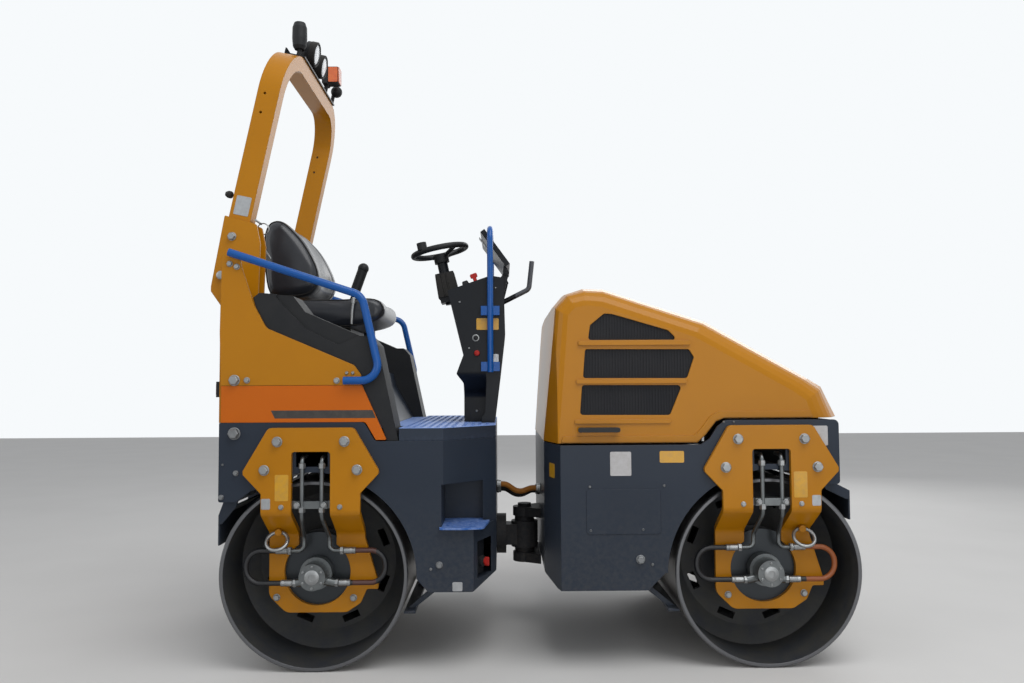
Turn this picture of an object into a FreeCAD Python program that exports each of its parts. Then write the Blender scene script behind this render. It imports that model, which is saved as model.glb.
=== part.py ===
import FreeCAD, Part
import math
import os
from FreeCAD import Vector

# Tandem road roller with a pivot between two frames. Millimetres, +X to the hood end, +Z up.
# X is measured from midway between the two axles until the last step, which centres the model.

# Drums and what they set
drum_diameter = 720
drum_width = 1200
drum_shell = 16
drum_disc_plate = 18
wheelbase = 1738
arch_gap = 35

# Frames
frame_overhang = 40
frame_plate = 12
arch_sheet = 8
belly_height = 305
deck_rise = 116
frame_rise = 72
frame_foot_drop = 75
pivot_x = -50
rear_face_gap = 125
front_face_gap = 70
rear_corner_width = 210
front_corner_width = 220
rear_bevel_length = 199
front_bevel_length = 51
low_bevel_length = 84

# Yokes
yoke_plate = 20
yoke_joggle = 130
yoke_joggle_drop = 120
yoke_joggle_rise = 90
yoke_slot_half = 73
yoke_bore_radius = 128
shaft_radius = 40
running_clearance = 0.05

# Operator's place
floor_plate_height = 49
side_panel_plate = 10
side_panel_rise = 640
console_half = 235
steering_wheel_diameter = 270
wheel_rim_radius = 13
seat_width = 460

# Roll bar
hoop_height = 2500
hoop_inset = 136
hoop_tube_depth = 88
hoop_tube_width = 62
hoop_bend = 230
hoop_lean = 12
fold_x = -1259
fold_rise = 578
leg_hole_radius = 5.5
leg_hole_drops = [93, 13]

# Hood
hood_inset = 40
hood_crown_half = 300
hood_wall = 7
hood_gap = 5
hood_hinge_x = 1160
hood_hinge_drop = 43

# Joint in the middle
pivot_pin_radius = 30
swivel_radius = 60
fork_plate = 40
swivel_lift = 49
swivel_height = 114
fork_gap = 24

drum_radius = drum_diameter / 2
drum_half = drum_width / 2
axle_z = drum_radius
rear_axle_x = -wheelbase / 2
front_axle_x = wheelbase / 2
arch_radius = drum_radius + arch_gap
frame_width = drum_width + 2 * frame_overhang
frame_half = frame_width / 2
rear_face_half = frame_half - rear_corner_width
front_face_half = frame_half - front_corner_width
deck_height = axle_z + arch_radius + deck_rise
rear_top_height = deck_height + frame_rise
frame_foot_height = drum_diameter - frame_foot_drop
side_panel_top = rear_top_height + side_panel_rise
fold_z = rear_top_height + fold_rise
hoop_half = frame_half - hoop_inset
hood_half = frame_half - hood_inset
hood_hinge_z = rear_top_height - hood_hinge_drop
rear_face_x = pivot_x - rear_face_gap
front_face_x = pivot_x + front_face_gap
rear_bevel_x = rear_face_x - rear_bevel_length
low_bevel_x = rear_face_x - low_bevel_length
front_bevel_x = front_face_x + front_bevel_length
yoke_outer = frame_half + yoke_plate
yoke_low_outer = yoke_outer - yoke_joggle
yoke_low_inner = yoke_low_outer - yoke_plate
yoke_joggle_top = drum_diameter - yoke_joggle_drop
yoke_joggle_bottom = yoke_joggle_top - yoke_joggle_rise
swivel_bottom = belly_height + swivel_lift
swivel_top = swivel_bottom + swivel_height
floor_height = deck_height + floor_plate_height
seat_clearance = 0.3

solids = {}


def corner_wire(points, place):
    """Closed wire through rows of (across, up, corner radius), set in space by place."""
    edges = []
    starts = []
    ends = []
    mids = []
    count = len(points)
    for i in range(count):
        here = Vector(points[i][0], points[i][1], 0)
        before = Vector(points[i - 1][0], points[i - 1][1], 0)
        after = Vector(points[(i + 1) % count][0], points[(i + 1) % count][1], 0)
        radius = points[i][2] if len(points[i]) > 2 else 0
        if radius <= 0:
            starts.append(here)
            ends.append(here)
            mids.append(None)
            continue
        back = (before - here).normalize()
        ahead = (after - here).normalize()
        half = back.getAngle(ahead) / 2
        reach = radius / math.tan(half)
        middle = (back + ahead).normalize() * (radius / math.sin(half) - radius)
        starts.append(here + back * reach)
        ends.append(here + ahead * reach)
        mids.append(here + middle)
    for i in range(count):
        if mids[i] is not None:
            edges.append(Part.Arc(place(starts[i]), place(mids[i]), place(ends[i])).toShape())
        nxt = starts[(i + 1) % count]
        if (nxt - ends[i]).Length > 1e-6:
            edges.append(Part.makeLine(place(ends[i]), place(nxt)))
    return Part.Wire(Part.__sortEdges__(edges))


def raised(rows, base):
    """Rows of (across, height above base, corner radius) as rows of real heights."""
    return [(row[0], row[1] + base, *row[2:]) for row in rows]


def side_prism(points, y0, y1):
    """Outline in X and Z, thick from y0 to y1."""
    wire = corner_wire(points, lambda p: Vector(p.x, y0, p.y))
    return Part.Face(wire).extrude(Vector(0, y1 - y0, 0))


def plan_prism(points, z0, z1):
    """Outline in X and Y, thick from z0 to z1."""
    wire = corner_wire(points, lambda p: Vector(p.x, p.y, z0))
    return Part.Face(wire).extrude(Vector(0, 0, z1 - z0))


def end_prism(points, x0, x1):
    """Outline in Y and Z, thick from x0 to x1."""
    wire = corner_wire(points, lambda p: Vector(x0, p.x, p.y))
    return Part.Face(wire).extrude(Vector(x1 - x0, 0, 0))


def block(x0, x1, y0, y1, z0, z1):
    return Part.makeBox(x1 - x0, y1 - y0, z1 - z0, Vector(x0, y0, z0))


def bar(start, end, radius):
    along = Vector(*end) - Vector(*start)
    return Part.makeCylinder(radius, along.Length, Vector(*start), along)


def cross_bar(x, z, y0, y1, radius):
    return bar((x, y0, z), (x, y1, z), radius)


def both_sides(shape):
    """The shape and its mirror image across the middle plane, as two solids."""
    return Part.makeCompound([shape, mirrored(shape)])


def mirrored(shape):
    return shape.mirror(Vector(0, 0, 0), Vector(0, 1, 0))


def bent_tube(route, radius):
    """Round tube along rows of (x, y, z, bend radius), straight runs joined by tangent arcs."""
    spots = [Vector(*row[:3]) for row in route]
    edges = []
    last = spots[0]
    for i in range(1, len(spots) - 1):
        back = (spots[i - 1] - spots[i]).normalize()
        ahead = (spots[i + 1] - spots[i]).normalize()
        half = back.getAngle(ahead) / 2
        bend = route[i][3]
        reach = bend / math.tan(half)
        start = spots[i] + back * reach
        end = spots[i] + ahead * reach
        middle = spots[i] + (back + ahead).normalize() * (bend / math.sin(half) - bend)
        if (start - last).Length > 1e-4:
            edges.append(Part.makeLine(last, start))
        edges.append(Part.Arc(start, middle, end).toShape())
        last = end
    edges.append(Part.makeLine(last, spots[-1]))
    path = Part.Wire(edges)
    ring = Part.Wire(Part.makeCircle(radius, spots[0], spots[1] - spots[0]))
    return path.makePipeShell([ring], True, False)


def save(name, shape):
    solids[name] = shape


def fuse_all(first, others):
    return first.multiFuse(others).removeSplitter()


# Drum: shell, two dished end discs with slots, buffer plates and bored hubs
dish_radius = 278
dish_depth = 40
hub_radius = 75
buffer_circle = 112
buffer_radius = 24
carrier_radius = 150
carrier_plate = 12
carrier_gap = 90
carrier_face = yoke_low_inner - carrier_gap
carrier_stand = 60
disc_face = carrier_face - carrier_stand
drum_slot_circle = 245
drum_slot_count = 8
rim_bevel = 5


def make_drum(axle_x):
    inner = drum_radius - drum_shell
    dish_face = disc_face - dish_depth
    rows = [(0, 0), (drum_radius, 0), (drum_radius, drum_half - rim_bevel), (drum_radius - rim_bevel, drum_half),
            (inner, drum_half), (inner, disc_face), (dish_radius, dish_face), (hub_radius, dish_face),
            (hub_radius, carrier_face), (0, carrier_face)]
    chamber = [(0, 0), (inner, 0), (inner, disc_face - drum_disc_plate),
               (dish_radius, dish_face - drum_disc_plate), (0, dish_face - drum_disc_plate)]
    outer = revolve_half(rows, axle_x)
    hollow = revolve_half(chamber, axle_x)
    solid = outer.fuse(mirrored(outer)).removeSplitter()
    solid = solid.cut(hollow.fuse(mirrored(hollow)))
    extras = []
    for side in (-1, 1):
        y0 = side * dish_face
        y1 = side * (carrier_face - carrier_plate)
        for i in range(6):
            angle = math.radians(60 * i + 30)
            x = axle_x + buffer_circle * math.cos(angle)
            z = axle_z + buffer_circle * math.sin(angle)
            extras.append(cross_bar(x, z, y0, y1, buffer_radius))
        extras.append(cross_bar(axle_x, axle_z, y1, side * carrier_face, carrier_radius))
    solid = solid.multiFuse(extras)
    cuts = []
    for side in (-1, 1):
        cuts.append(cross_bar(axle_x, axle_z, side * (dish_face - drum_disc_plate / 2), side * (carrier_face + 1),
                              shaft_radius + running_clearance))
        for i in range(drum_slot_count):
            slot = block(-35, 35, -20, 20, -14, 14)
            slot.translate(Vector(0, side * (dish_face - drum_disc_plate / 2), drum_slot_circle))
            slot.rotate(Vector(0, 0, 0), Vector(0, 1, 0), 360 / drum_slot_count * (i + 0.5))
            slot.translate(Vector(axle_x, 0, axle_z))
            cuts.append(slot)
    return solid.cut(Part.makeCompound(cuts))


def revolve_half(rows, axle_x):
    """Turns rows of (radius, distance from the middle plane) about the axle."""
    points = [Vector(axle_x + r, y, axle_z) for r, y in rows]
    face = Part.Face(Part.makePolygon(points + [points[0]]))
    return face.revolve(Vector(axle_x, 0, axle_z), Vector(0, 1, 0), 360)


save("rear_drum", make_drum(rear_axle_x))
save("front_drum", make_drum(front_axle_x))

# Yokes: bent plates, wide above and joggled in below. Columns: from the axle along X, height, corner radius
yoke_head = raised([(-186, -265, 8), (-254, -193, 8), (-254, -179, 8), (-160, -19, 22), (160, -19, 22),
                    (254, -179, 8), (254, -193, 8), (186, -265, 8)], rear_top_height)
yoke_foot = raised([(184, 130, 0), (236, -42, 6), (236, -67, 6), (192, -67, 10), (168, -120, 20), (115, -155, 30),
                    (-120, -155, 45), (-187, -90, 45)], axle_z)
yoke_outline = yoke_head + yoke_foot
yoke_slot_top = rear_top_height - 109
ring_from_axle = 142
ring_top = yoke_joggle_bottom + 10
ring_radius = 40
ring_bar = 7
ring_lean = 42
stud_length = 46
stud_radius = 13


def make_yoke(axle_x, side):
    top = 1000
    low = 150
    outer = yoke_outer
    inner = yoke_low_outer
    slope = math.atan2(yoke_joggle, yoke_joggle_top - yoke_joggle_bottom)
    shift = yoke_plate * math.tan(slope / 2)
    profile = [(outer, top), (outer, yoke_joggle_top, 30), (inner, yoke_joggle_bottom, 30), (inner, low),
               (inner - yoke_plate, low), (inner - yoke_plate, yoke_joggle_bottom + shift, 50),
               (outer - yoke_plate, yoke_joggle_top + shift, 10), (outer - yoke_plate, top)]
    profile = [(side * row[0], *row[1:]) for row in profile]
    plate = end_prism(profile, axle_x - 300, axle_x + 300)
    shape = [(axle_x + x, z, r) for x, z, r in yoke_outline]
    plate = plate.common(side_prism(shape, -800, 800))
    slot = side_prism([(axle_x - yoke_slot_half, yoke_slot_top, 12), (axle_x + yoke_slot_half, yoke_slot_top, 12),
                       (axle_x + yoke_slot_half, axle_z), (axle_x - yoke_slot_half, axle_z)], -800, 800)
    bore = cross_bar(axle_x, axle_z, -800, 800, yoke_bore_radius)
    plate = plate.cut(slot.fuse(bore))
    return fuse_all(plate, [tie_stud(axle_x, side)])


def tie_stud(axle_x, side):
    x = axle_x + math.copysign(ring_from_axle, axle_x)
    return cross_bar(x, ring_top, side * (yoke_low_outer - 5), side * (yoke_low_outer + stud_length), stud_radius)


def make_tie_ring(axle_x, side):
    """Ring leaning outwards from its stud, open where the stud passes through it."""
    lean = math.radians(ring_lean)
    middle = Vector(axle_x + math.copysign(ring_from_axle, axle_x),
                    side * (yoke_low_outer + stud_length - 14 + ring_radius * math.sin(lean)),
                    ring_top - ring_radius * math.cos(lean))
    ring = Part.makeTorus(ring_radius, ring_bar, middle, Vector(0, side * math.cos(lean), math.sin(lean)))
    return ring.cut(tie_stud(axle_x, side))


# Drive motors: flange inside the yoke, body and cover through its bore, shaft into the drum's hub
motor_flange_radius = 150
motor_body_radius = 62
motor_cover_radius = 50
motor_cover_reach = 118
motor_flange_face = yoke_low_inner
hose_radius = 10
pipe_radius = 8
hose_y = yoke_low_outer + 30
clamp_z = yoke_joggle_top + 35
pipe_y = frame_half + pipe_radius + 2
pipe_top = yoke_slot_top - 22
hose_top = yoke_joggle_bottom - 62
hose_low = axle_z - 35
hose_bend = (hose_top - hose_low) / 2 - 3.5


def make_motor(axle_x, side):
    face = motor_flange_face
    parts = [cross_bar(axle_x, axle_z, side * (face - 14), side * (face + 50), motor_body_radius)]
    parts.append(cross_bar(axle_x, axle_z, side * (face + 50), side * (face + motor_cover_reach),
                           motor_cover_radius))
    parts.append(cross_bar(axle_x, axle_z, side * (carrier_face + 8), side * (face - 14), hub_radius))
    parts.append(cross_bar(axle_x, axle_z, side * (carrier_face - 60), side * (carrier_face + 8), shaft_radius))
    for reach in (-1, 1):
        end_x = axle_x + reach * 75
        parts.append(bar((axle_x, side * hose_y, axle_z - 20), (end_x, side * hose_y, axle_z - 35), 16))
    flange = cross_bar(axle_x, axle_z, side * (face - 14), side * face, motor_flange_radius)
    shape = fuse_all(flange, parts)
    for pipe_x, reach in ((-34, -1), (40, 1)):
        x = axle_x + pipe_x
        pipe = [(x, side * (frame_half - 60), pipe_top, 0), (x, side * pipe_y, pipe_top, 24),
                (x, side * pipe_y, yoke_joggle_top - 10, 40),
                (x + reach * 12, side * hose_y, yoke_joggle_bottom - 10, 40),
                (x + reach * 12, side * hose_y, hose_top, 22), (axle_x + reach * 105, side * hose_y, hose_top, 0)]
        hose = [(axle_x + reach * 105, side * hose_y, hose_top, 0),
                (axle_x + reach * 268, side * hose_y, hose_top, hose_bend),
                (axle_x + reach * 268, side * hose_y, hose_low, hose_bend),
                (axle_x + reach * 70, side * hose_y, hose_low, 0)]
        shape = fuse_all(shape, [bent_tube(pipe, pipe_radius), bent_tube(hose, hose_radius)])
    clamp = block(axle_x - yoke_slot_half - 12, axle_x + yoke_slot_half + 12, frame_half - 18, frame_half,
                  clamp_z - 14, clamp_z + 14)
    clamp = clamp.fuse(block(axle_x - 62, axle_x + 62, frame_half - 8, pipe_y + 4, clamp_z - 14, clamp_z + 14))
    if side < 0:
        clamp = mirrored(clamp)
    return fuse_all(shape, [clamp])


for end, axle_x in (("rear", rear_axle_x), ("front", front_axle_x)):
    for hand, side in (("right", -1), ("left", 1)):
        save(end + "_yoke_" + hand, make_yoke(axle_x, side))
        save(end + "_motor_" + hand, make_motor(axle_x, side))
    save(end + "_tie_rings", Part.makeCompound([make_tie_ring(axle_x, -1), make_tie_ring(axle_x, 1)]))

# Rear frame: side plates with drum arch, arch sheet, belly, end plates and bevelled front corners
rear_end_x = -1220
arch_foot_z = frame_foot_height + 45
step_x0 = -380
step_x1 = -227
step_z0 = deck_height - 331
step_z1 = step_z0 + 165
step_depth = 110
frame_lip_x = -1154


def make_rear_frame():
    outline = [(rear_end_x, rear_top_height, 3), (rear_end_x, frame_foot_height, 8),
               (frame_lip_x, frame_foot_height, 8), (frame_lip_x + 60, arch_foot_z, 0),
               (rear_axle_x, arch_foot_z - 250, 0), (-474, belly_height + 50, 0),
               (-430, belly_height, 10), (rear_face_x - 90, belly_height, 10), (rear_face_x, belly_height + 35, 4),
               (rear_face_x, deck_height, 2), (-631, deck_height, 20), (-672, rear_top_height, 20)]
    return frame_shell(outline, rear_axle_x, arch_radius, rear_face_x, rear_face_half, -1,
                       [(step_z0, 1500, rear_bevel_x), (0, step_z0, low_bevel_x)])


def frame_shell(outline, axle_x, radius, face_x, face_half, ahead, bevels):
    """Welded tub: outline prism with an arch for the drum, walls of one plate, open on top at the front end.

    Bevels holds rows of lower height, upper height and where the corner's bevel starts.
    """
    body = side_prism(outline, -frame_half, frame_half)
    arch = cross_bar(axle_x, axle_z, -frame_half - 1, frame_half + 1, radius)
    body = body.cut(arch)
    inner = [(x, z, 0) for x, z, r in inset_outline(outline, frame_plate)]
    if ahead > 0:
        inner = [(x, z + 100 if z > deck_height - 60 else z, 0) for x, z, r in inner]
    hollow = side_prism(inner, -frame_half + frame_plate, frame_half - frame_plate)
    hollow = hollow.cut(cross_bar(axle_x, axle_z, -frame_half, frame_half, radius + arch_sheet))
    reach = -ahead * 400
    for side in (-1, 1):
        for z0, z1, bevel_x in bevels:
            wedge = [(face_x, side * face_half), (bevel_x, side * frame_half), (bevel_x, side * (frame_half + 60)),
                     (face_x + reach, side * (frame_half + 60)), (face_x + reach, side * face_half)]
            body = body.cut(plan_prism(wedge, z0, z1))
            slope = math.hypot(face_x - bevel_x, frame_half - face_half)
            back = frame_plate * slope / abs(face_x - bevel_x)
            inner_wedge = plan_prism(wedge, z0 - frame_plate, z1).translated(Vector(0, -side * back, 0))
            hollow = hollow.cut(inner_wedge)
        body = body.cut(block(axle_x - 60, axle_x + 60, side * frame_half - 20, side * frame_half + 20,
                              yoke_slot_top - 58, yoke_slot_top))
    return body.cut(hollow)


def inset_outline(outline, wall):
    """Outline moved inwards by the wall, corner by corner."""
    count = len(outline)
    area = sum(outline[i - 1][0] * outline[i][1] - outline[i][0] * outline[i - 1][1] for i in range(count))
    turn = 1 if area > 0 else -1
    moved = []
    for i in range(count):
        x, z, radius = outline[i]
        x0, z0 = outline[i - 1][:2]
        x1, z1 = outline[(i + 1) % count][:2]
        a = Vector(x - x0, z - z0, 0).normalize()
        b = Vector(x1 - x, z1 - z, 0).normalize()
        na = Vector(-a.y, a.x, 0) * turn
        nb = Vector(-b.y, b.x, 0) * turn
        bisector = na + nb
        scale = wall * 2 / bisector.dot(bisector)
        moved.append((x + bisector.x * scale, z + bisector.y * scale, 0))
    return moved


rear_frame = make_rear_frame()
for side in (-1, 1):
    inner_y = frame_half - step_depth - 100
    wall = block(step_x0 - arch_sheet, step_x1 + arch_sheet, inner_y - arch_sheet, frame_half, step_z0 - arch_sheet,
                 step_z1 + arch_sheet)
    room = block(step_x0, step_x1, inner_y, frame_half + 10, step_z0, step_z1)
    if side < 0:
        wall = mirrored(wall)
        room = mirrored(room)
    outside = plan_prism([(rear_face_x, side * rear_face_half), (rear_bevel_x, side * frame_half),
                          (rear_bevel_x - 30, side * frame_half), (rear_bevel_x - 30, side * (frame_half + 60)),
                          (rear_face_x + 60, side * (frame_half + 60)), (rear_face_x + 60, side * rear_face_half)],
                         0, 1500)
    rear_frame = rear_frame.fuse(wall.cut(outside)).cut(room)
isolator_hole = block(-246, -196, -frame_half, -rear_face_half + 30, belly_height + 41, belly_height + 181)
filler_hole = block(-1040, -720, -280, 280, rear_top_height - 30, rear_top_height + 30)
cylinder_z = belly_height + 51
cylinder_base = (-325, 200)
cylinder_eye = (-20, 130)
cylinder_slope = (cylinder_eye[1] - cylinder_base[1]) / (cylinder_eye[0] - cylinder_base[0])
cylinder_length = math.hypot(cylinder_eye[0] - cylinder_base[0], cylinder_eye[1] - cylinder_base[1])
cylinder_turn = math.degrees(math.atan(cylinder_slope))
cylinder_radius = 30
port_gap = 7


def lay_cylinder(shape):
    """Sets a shape built along X from the cylinder's foot into its slanting place."""
    shape.rotate(Vector(0, 0, 0), Vector(0, 0, 1), cylinder_turn)
    return shape.translated(Vector(cylinder_base[0], cylinder_base[1], cylinder_z))


cylinder_port = lay_cylinder(bar((40, 0, 0), (280, 0, 0), cylinder_radius + port_gap))
rear_frame = rear_frame.cut(isolator_hole.fuse(filler_hole)).cut(cylinder_port)
save("rear_frame", rear_frame.removeSplitter())

# Steering cylinder: barrel inside the rear frame, rod out through its port to an ear of the fork
rod_radius = 16
eye_radius = 26
eye_height = 40
barrel_length = 200
barrel = bar((0, 0, 0), (barrel_length, 0, 0), cylinder_radius)
barrel = barrel.fuse(Part.makeCylinder(38, cylinder_z - belly_height - frame_plate + 24,
                                       Vector(0, 0, -(cylinder_z - belly_height - frame_plate))))
barrel = barrel.cut(bar((40, 0, 0), (barrel_length + 1, 0, 0), rod_radius + running_clearance))
save("steer_barrel", lay_cylinder(barrel))
ear_top = cylinder_z - eye_height / 2 - seat_clearance
rod = bar((104, 0, 0), (cylinder_length, 0, 0), rod_radius)
rod = fuse_all(rod, [Part.makeCylinder(eye_radius, eye_height, Vector(cylinder_length, 0, -eye_height / 2)),
                     Part.makeCylinder(14, eye_height + 14, Vector(cylinder_length, 0, -eye_height / 2))])
save("steer_rod", lay_cylinder(rod))

# Front frame: the same construction the other way round, low at the rear and high over the drum
front_end_x = 1135
front_foot_z = frame_foot_height + 53


def make_front_frame():
    outline = [(front_face_x, deck_height - 21, 2), (front_face_x, belly_height + 24, 8),
               (front_face_x + 40, belly_height, 8), (400, belly_height, 10), (463, 368, 0),
               (front_axle_x, arch_foot_z - 250, 0), (front_axle_x + 209, front_foot_z, 0),
               (front_end_x, front_foot_z, 14), (front_end_x, rear_top_height, 20), (704, rear_top_height, 18),
               (672, deck_height + 49, 20), (640, deck_height + 1, 20),
               (606, deck_height - 21, 20)]
    return frame_shell(outline, front_axle_x, arch_radius, front_face_x, front_face_half, 1,
                       [(0, 1500, front_bevel_x)])


hood_lug_y = 240
hood_pin = 7
front_frame = make_front_frame()
lugs = []
for side in (-1, 1):
    lugs.append(side_prism([(front_end_x - 2, hood_hinge_z - 30, 0), (hood_hinge_x + 12, hood_hinge_z - 14, 10),
                            (hood_hinge_x + 12, hood_hinge_z + 12, 10), (front_end_x - 2, hood_hinge_z + 14, 0)],
                           side * hood_lug_y, side * (hood_lug_y + 12)))
    lugs.append(cross_bar(hood_hinge_x, hood_hinge_z, side * hood_lug_y, side * (hood_lug_y + 30), hood_pin))
save("front_frame", fuse_all(front_frame, lugs))

# Centre joint: round swivel on the rear frame, two-plate fork and pin on the front frame
swivel_mid = (swivel_bottom + swivel_top) / 2
swivel = Part.makeCylinder(swivel_radius, swivel_top - swivel_bottom, Vector(pivot_x, 0, swivel_bottom))
neck = block(rear_face_x, pivot_x, -swivel_radius * 0.8, swivel_radius * 0.8, swivel_bottom + 12, swivel_top - 12)
bearing = bar((rear_face_x, 0, swivel_mid), (rear_face_x + 42, 0, swivel_mid), 88)
pin_hole = Part.makeCylinder(pivot_pin_radius + running_clearance, 400, Vector(pivot_x, 0, 200))
save("centre_swivel", fuse_all(swivel, [neck, bearing]).cut(pin_hole))

fork_low = swivel_bottom - fork_gap - fork_plate
fork_high = swivel_top + fork_gap
fork_half = 75
fork = []
for z in (fork_low, fork_high):
    head = Part.makeCylinder(52, fork_plate, Vector(pivot_x, 0, z))
    arm = plan_prism([(pivot_x, -52), (front_face_x, -fork_half - 20), (front_face_x, fork_half + 20),
                      (pivot_x, 52)], z, z + fork_plate)
    fork += [head, arm]
fork.append(Part.makeCylinder(pivot_pin_radius, fork_high + fork_plate + 14 - fork_low,
                              Vector(pivot_x, 0, fork_low)))
for z in (swivel_bottom - fork_gap, swivel_top + seat_clearance):
    fork.append(Part.makeCylinder(44, fork_gap - seat_clearance, Vector(pivot_x, 0, z)))
ear_bottom = ear_top - fork_plate
fork.append(plan_prism([(front_face_x, cylinder_eye[1] - 45), (front_face_x, cylinder_eye[1] + 45),
                        (cylinder_eye[0], cylinder_eye[1] + 32), (cylinder_eye[0], cylinder_eye[1] - 32)],
                       ear_bottom, ear_top))
fork.append(Part.makeCylinder(32, fork_plate, Vector(cylinder_eye[0], cylinder_eye[1], ear_bottom)))
fork.append(block(front_face_x - 8, front_face_x, -fork_half - 30, cylinder_eye[1] + 50, ear_bottom, ear_top))
save("centre_fork", fuse_all(fork[0], fork[1:]))

# Hoses from frame to frame over the centre joint. Columns: side, rear and front heights over the swivel, sag, radius
joint_hose_rows = [(-72, 172, 154, 30, 12), (-40, 160, 148, 34, 12), (-8, 147, 138, 32, 14), (26, 154, 142, 36, 12)]
joint_hoses = []
for y, rear_rise, front_rise, sag, radius in joint_hose_rows:
    z0 = swivel_top + rear_rise
    z1 = swivel_top + front_rise
    middle_z = (z0 + z1) / 2 - sag
    route = [(rear_face_x, y, z0, 0), (rear_face_x + 42, y, z0, 45),
             ((rear_face_x + front_face_x) / 2, y, middle_z, 55), (front_face_x - 42, y, z1, 45),
             (front_face_x, y, z1, 0)]
    joint_hoses.append(bent_tube(route, radius))
save("joint_hoses", Part.makeCompound(joint_hoses))

# Operator's floor with folded edge, and the steps below it
base_y = frame_half - side_panel_plate
trim_inner = base_y - 160
floor_x0 = -541
floor_tongue_x = -615
floor_tongue_half = trim_inner - 8
floor_outline = [(floor_x0, -frame_half + 6), (rear_bevel_x, -frame_half + 6), (rear_face_x, -rear_face_half + 4),
                 (rear_face_x, rear_face_half - 4), (rear_bevel_x, frame_half - 6), (floor_x0, frame_half - 6),
                 (floor_x0, floor_tongue_half), (floor_tongue_x, floor_tongue_half),
                 (floor_tongue_x, -floor_tongue_half), (floor_x0, -floor_tongue_half)]
floor_pan = plan_prism(floor_outline, deck_height, floor_height)
floor_room = plan_prism([(floor_x0 + 8, -frame_half + 14), (rear_bevel_x - 4, -frame_half + 14),
                         (rear_face_x - 8, -rear_face_half + 9), (rear_face_x - 8, rear_face_half - 9),
                         (rear_bevel_x - 4, frame_half - 14), (floor_x0 + 8, frame_half - 14)],
                        deck_height - 1, floor_height - 8)
save("operator_floor", floor_pan.cut(floor_room))

tread_back = -frame_half + step_depth + 99
step_tread = block(step_x0 + 1, step_x1 - 1, -frame_half + 2, tread_back, step_z0, step_z0 + 8)
step_nose = plan_prism([(step_x0 + 1, -frame_half + 60), (step_x0 + 1, -frame_half - 1),
                        (step_x0 - 8, -frame_half - 1), (step_x0 - 6, -frame_half - 22, 8),
                        (step_x0 + 80, -frame_half - 29, 80), (step_x1 + 6, -frame_half - 16, 30),
                        (step_x1 + 12, -frame_half + 35, 20), (step_x1 + 28, -rear_face_half - 46, 8),
                        (step_x1 - 2, -rear_face_half - 58)], step_z0, step_z0 + 8)
save("step_plates", both_sides(step_tread.fuse(step_nose).removeSplitter()))

# Yellow side panels with their orange bands, and the rear panel between them
panel_outer = frame_half
panel_outline = raised([(-1217, side_panel_rise, 10), (-1222, 345, 0), (-1216, 141, 4), (-681, 141, 6),
                        (-686, 182, 20), (-712, 217, 20), (-1046, 360, 40), (-1093, 448, 20), (-1140, 587, 20),
                        (-1150, side_panel_rise, 6)], rear_top_height)
band_outline = raised([(-1214, 140, 2), (-681, 140, 2), (-588, 5 - frame_rise, 3), (-628, 5 - frame_rise, 3),
                       (-668, 1, 16), (-1214, 1, 2)], rear_top_height)
save("side_panels", both_sides(side_prism(panel_outline, -panel_outer, -panel_outer + side_panel_plate)))
side_band = side_prism(band_outline, -panel_outer, -panel_outer + side_panel_plate)
save("side_bands", both_sides(side_band))

# Body under the seat: an open-backed box on the frame's top, closed by the rear panel
platform_top = rear_top_height + 322
platform_front = platform_top - 125
base_front = [(-1214, rear_top_height, 0), (-658, rear_top_height, 0), (-645, floor_height, 0),
              (-604, floor_height, 0), (-690, platform_front - 65, 0), (-706, platform_front, 0),
              (-1000, platform_top, 0), (-1214, platform_top, 0)]
base = side_prism(base_front, -base_y, base_y)
base_room = raised([(-1300, -365, 0), (-602, -365, 0), (-697, -194, 0), (-713, -133, 0), (-1003, -10, 0),
                    (-1300, -10, 0)], platform_top)
base_hollow = side_prism(base_room, -base_y + 8, base_y - 8)
post_notches = []
for side in (-1, 1):
    y0 = side * (hoop_half + 18)
    y1 = side * (hoop_half - hoop_tube_width - 18)
    notch = block(-1220, -1104, min(y0, y1), max(y0, y1), platform_top - 65, platform_top + 35)
    post_notches.append(notch)
save("seat_platform", base.cut(base_hollow).cut(post_notches[0]).cut(post_notches[1]).removeSplitter())
crest_half = hoop_half - 104
rear_panel_outline = [(-base_y, rear_top_height, 0), (base_y, rear_top_height, 0), (base_y, platform_top, 0),
                      (crest_half, platform_top + 35, 40), (crest_half, platform_top + 175, 30),
                      (-crest_half, platform_top + 175, 30), (-crest_half, platform_top + 35, 40),
                      (-base_y, platform_top, 0)]
save("rear_panel", end_prism(rear_panel_outline, -1224, -1214))
lamps = block(-1250, -1224, base_y - 160, base_y - 40, rear_top_height + 97, rear_top_height + 157)
save("rear_lamps", both_sides(lamps))

# Black side consoles beside the seat
console_trim = raised([(-1076, 174, 8), (-950, 162, 6), (-903, 100, 6), (-692, 7, 10), (-654, 7, 12),
                       (-623, -28, 8), (-544, deck_height - platform_top, 0), (-588, deck_height - platform_top, 0),
                       (-604, floor_height - platform_top, 0), (-690, -190, 0), (-706, -125, 0), (-1000, 0, 0),
                       (-1022, 0, 0), (-1046, 35, 0), (-1090, 120, 0), (-1100, 155, 0)], platform_top)
trim_outer = base_y
trim_body = side_prism(console_trim, -trim_outer, -trim_inner)
trim_step = 10
step_outline = raised([(-1012, 195, 0), (-1012, 155, 12), (-895, 32, 20), (-776, -27, 8), (-692, 10, 0),
                       (-692, 195, 0)], platform_top)
trim_body = trim_body.cut(side_prism(step_outline, -trim_outer - 1, -trim_outer + trim_step))
trim_hollow = side_prism(raised([(-1070, 165, 0), (-953, 154, 0), (-907, 92, 0), (-694, -1, 0), (-660, -1, 0),
                                 (-632, -33, 0), (-552, -405, 0), (-700, -405, 0), (-700, -265, 0), (-1010, -25, 0),
                                 (-1012, 3, 0), (-1037, 37, 0), (-1081, 123, 0), (-1090, 153, 0)], platform_top),
                         -trim_outer + trim_step + 8, -trim_inner - 8)
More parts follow.
